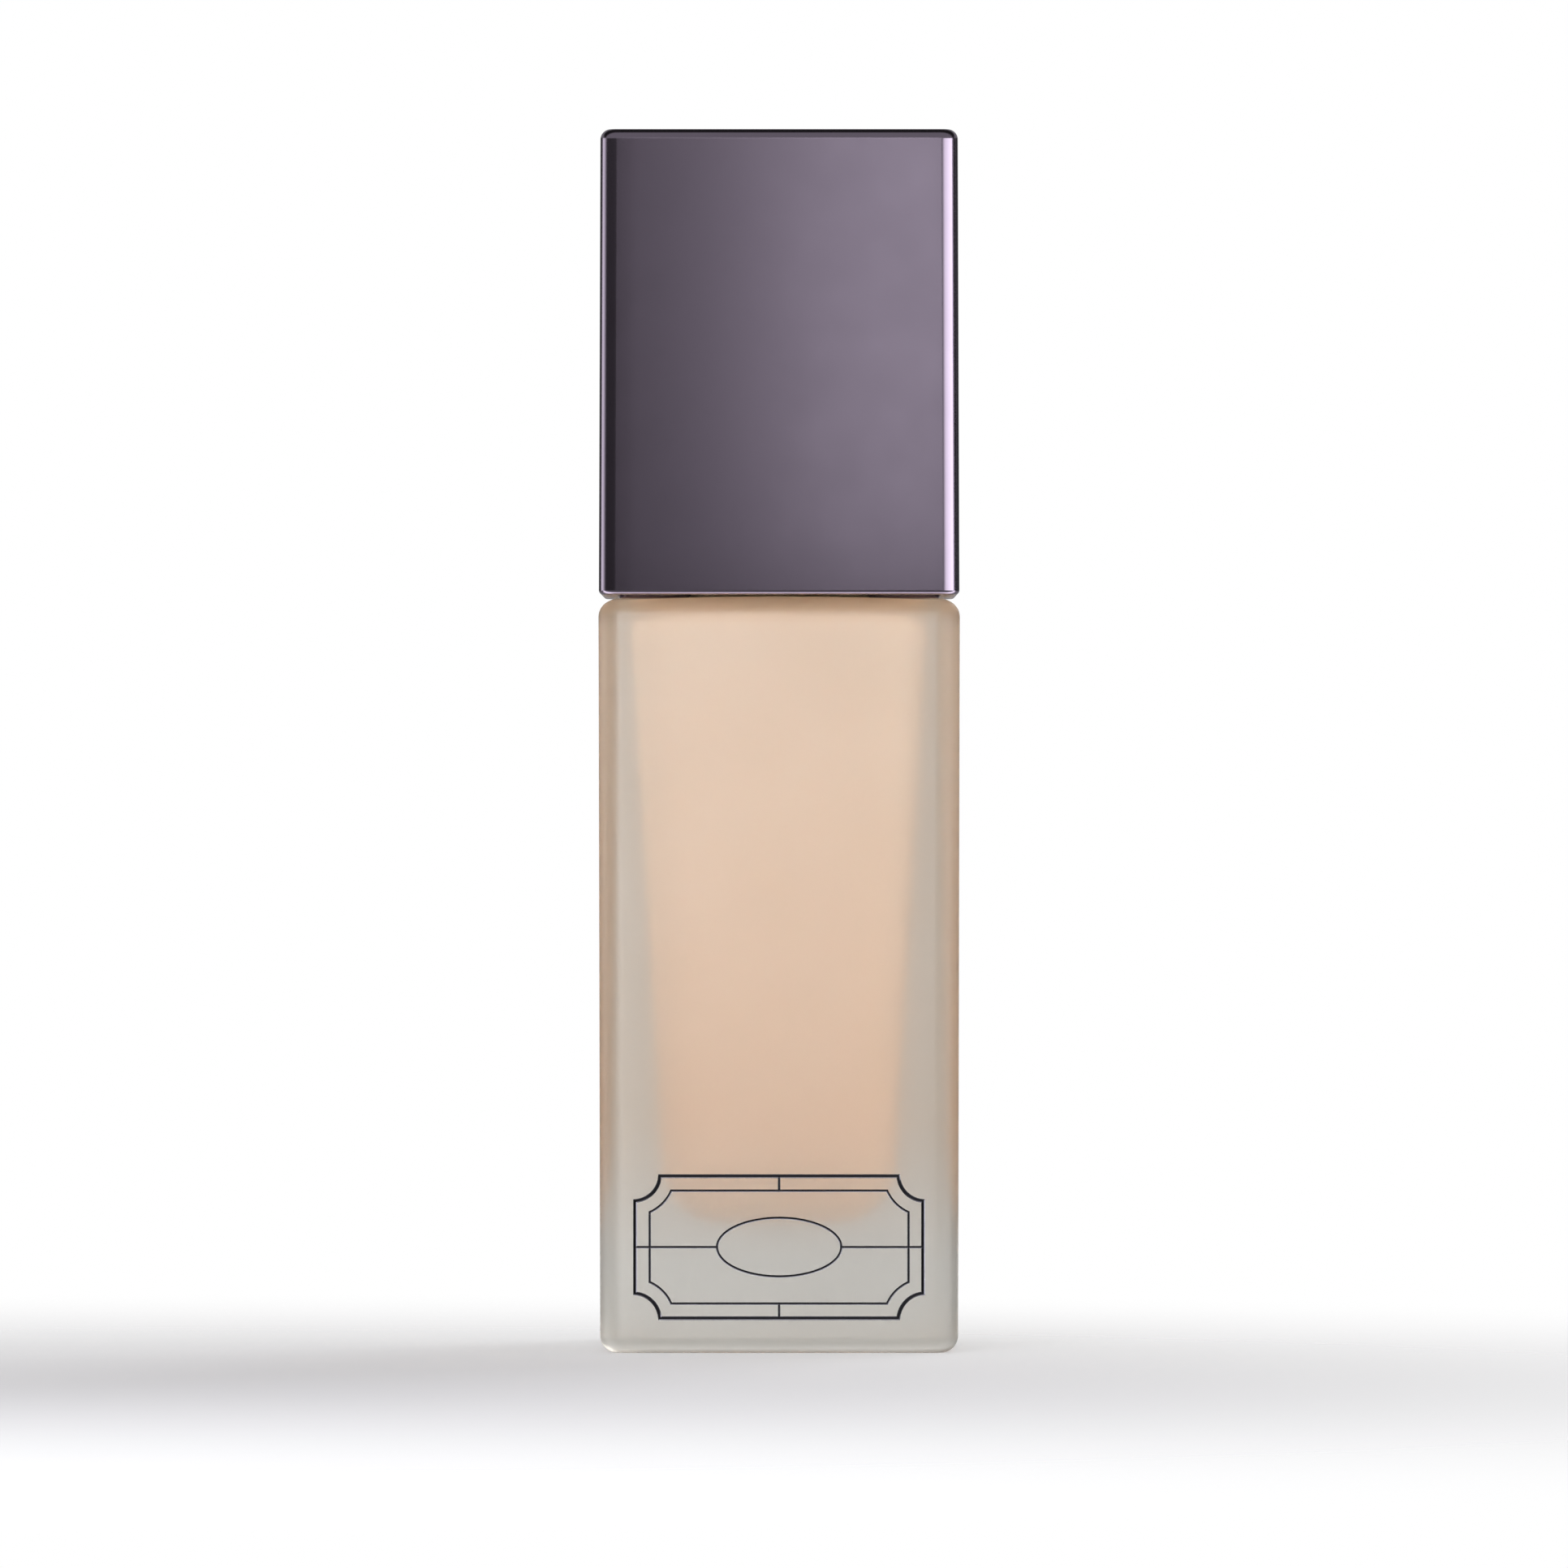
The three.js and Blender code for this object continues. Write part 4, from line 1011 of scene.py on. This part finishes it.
def makeSurround():
    world = bpy.data.worlds.new("studioSurround")
    frameScene.world = world
    world.use_nodes = True
    tree = world.node_tree
    tree.nodes.clear()
    direction = addNode(tree, "ShaderNodeTexCoord").outputs["Generated"]
    axes = addNode(tree, "ShaderNodeSeparateXYZ", {}, {"Vector": direction})
    toCamera = addNode(tree, "ShaderNodeMath", {"operation": "MULTIPLY", 1: -1.0}, {0: axes.outputs["Y"]})
    around = brightnessByAngle(tree, axes.outputs["X"], toCamera.outputs["Value"], surround["around"])
    over = brightnessByAngle(tree, axes.outputs["Z"], toCamera.outputs["Value"], surround["over"])
    slope = addNode(tree, "ShaderNodeMath", {"operation": "ABSOLUTE"}, {0: axes.outputs["Z"]})
    steep = addNode(tree, "ShaderNodeMapRange",
                    {"From Min": surround["levelBelow"], "From Max": surround["overAbove"],
                     "interpolation_type": "SMOOTHSTEP"}, {"Value": slope.outputs["Value"]})
    flats = addNode(tree, "ShaderNodeMixRGB", {},
                    {"Fac": steep.outputs["Result"], "Color1": around, "Color2": over})
    studio = addNode(tree, "ShaderNodeBackground", {"Strength": 1.0}, {"Color": flats.outputs["Color"]})
    backdrop = addNode(tree, "ShaderNodeBackground", {"Color": (1, 1, 1, 1), "Strength": surround["backdrop"]})
    room = addNode(tree, "ShaderNodeBackground",
                   {"Color": linear(surround["room"]), "Strength": surround["roomLevel"]})
    seen = addNode(tree, "ShaderNodeLightPath")
    lit = addNode(tree, "ShaderNodeMixShader", {},
                  {0: seen.outputs["Is Glossy Ray"], 1: room.outputs["Background"],
                   2: studio.outputs["Background"]})
    pick = addNode(tree, "ShaderNodeMixShader", {},
                   {0: seen.outputs["Is Camera Ray"], 1: lit.outputs["Shader"],
                    2: backdrop.outputs["Background"]})
    addNode(tree, "ShaderNodeOutputWorld", {}, {"Surface": pick.outputs["Shader"]})


makeSurround()

# Soft boxes: where each stands, what it points at and its size in metres, and its power in watts.
# A mirrored one shows only in reflections. The others light everything else and are never mirrored.
softBoxes = {
    "capCard": {"at": (0.016, -0.296, 0.127), "aim": (0.016, 0, 0.127), "size": (0.03, 0.11), "watts": 0.0155,
                "mirrored": True},
    "frontFill": {"at": (-0.1, -0.4, 0.11), "aim": (0, 0, 0.02), "size": (0.25, 0.3), "watts": 2.0,
                  "mirrored": False},
    "overheadFill": {"at": (0.05, 0.0, 0.75), "aim": (0, 0, 0.03), "size": (0.9, 0.9), "watts": 0.8,
                     "mirrored": False},
    "rightFill": {"at": (0.48, 0.08, 0.12), "aim": (0, 0, 0.04), "size": (0.4, 0.4), "watts": 0.45,
                  "mirrored": False},
    "leftFill": {"at": (-0.5, 0.06, 0.14), "aim": (0, 0, 0.05), "size": (0.4, 0.4), "watts": 0.4,
                 "mirrored": False},
    "backKey": {"at": (0.3, 0.4, 0.45), "aim": (0, 0, 0.03), "size": (0.3, 0.3), "watts": 1.2,
                "mirrored": False},
}
for name, box in softBoxes.items():
    light = bpy.data.lights.new(name, "AREA")
    light.shape = "RECTANGLE"
    light.size, light.size_y = box["size"]
    light.energy = box["watts"]
    lamp = bpy.data.objects.new(name, light)
    lamp.location = box["at"]
    lamp.rotation_mode = "QUATERNION"
    lamp.rotation_quaternion = (Vector(box["aim"]) - Vector(box["at"])).to_track_quat("-Z", "Y")
    lamp.visible_camera = False
    lamp.visible_glossy = box["mirrored"]
    lamp.visible_diffuse = lamp.visible_transmission = not box["mirrored"]
    frameScene.collection.objects.link(lamp)
print("floor and lights set")


view = {"distance": 1.2, "width": 0.1386, "sensor": 36.0, "right": 0.00043, "height": 0.05035}
cameraData = bpy.data.cameras.new("frontCamera")
cameraData.sensor_width = view["sensor"]
cameraData.lens = view["sensor"] * view["distance"] / view["width"]
cameraData.clip_start, cameraData.clip_end = 0.05, 10
frontCamera = bpy.data.objects.new("frontCamera", cameraData)
frontCamera.location = (view["right"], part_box("glass_bottle")[0].y - view["distance"], view["height"])
frontCamera.rotation_euler = (math.pi / 2, 0, 0)
frameScene.collection.objects.link(frontCamera)
frameScene.camera = frontCamera
frameScene.view_settings.view_transform = "Standard"
frameScene.view_settings.look = "None"
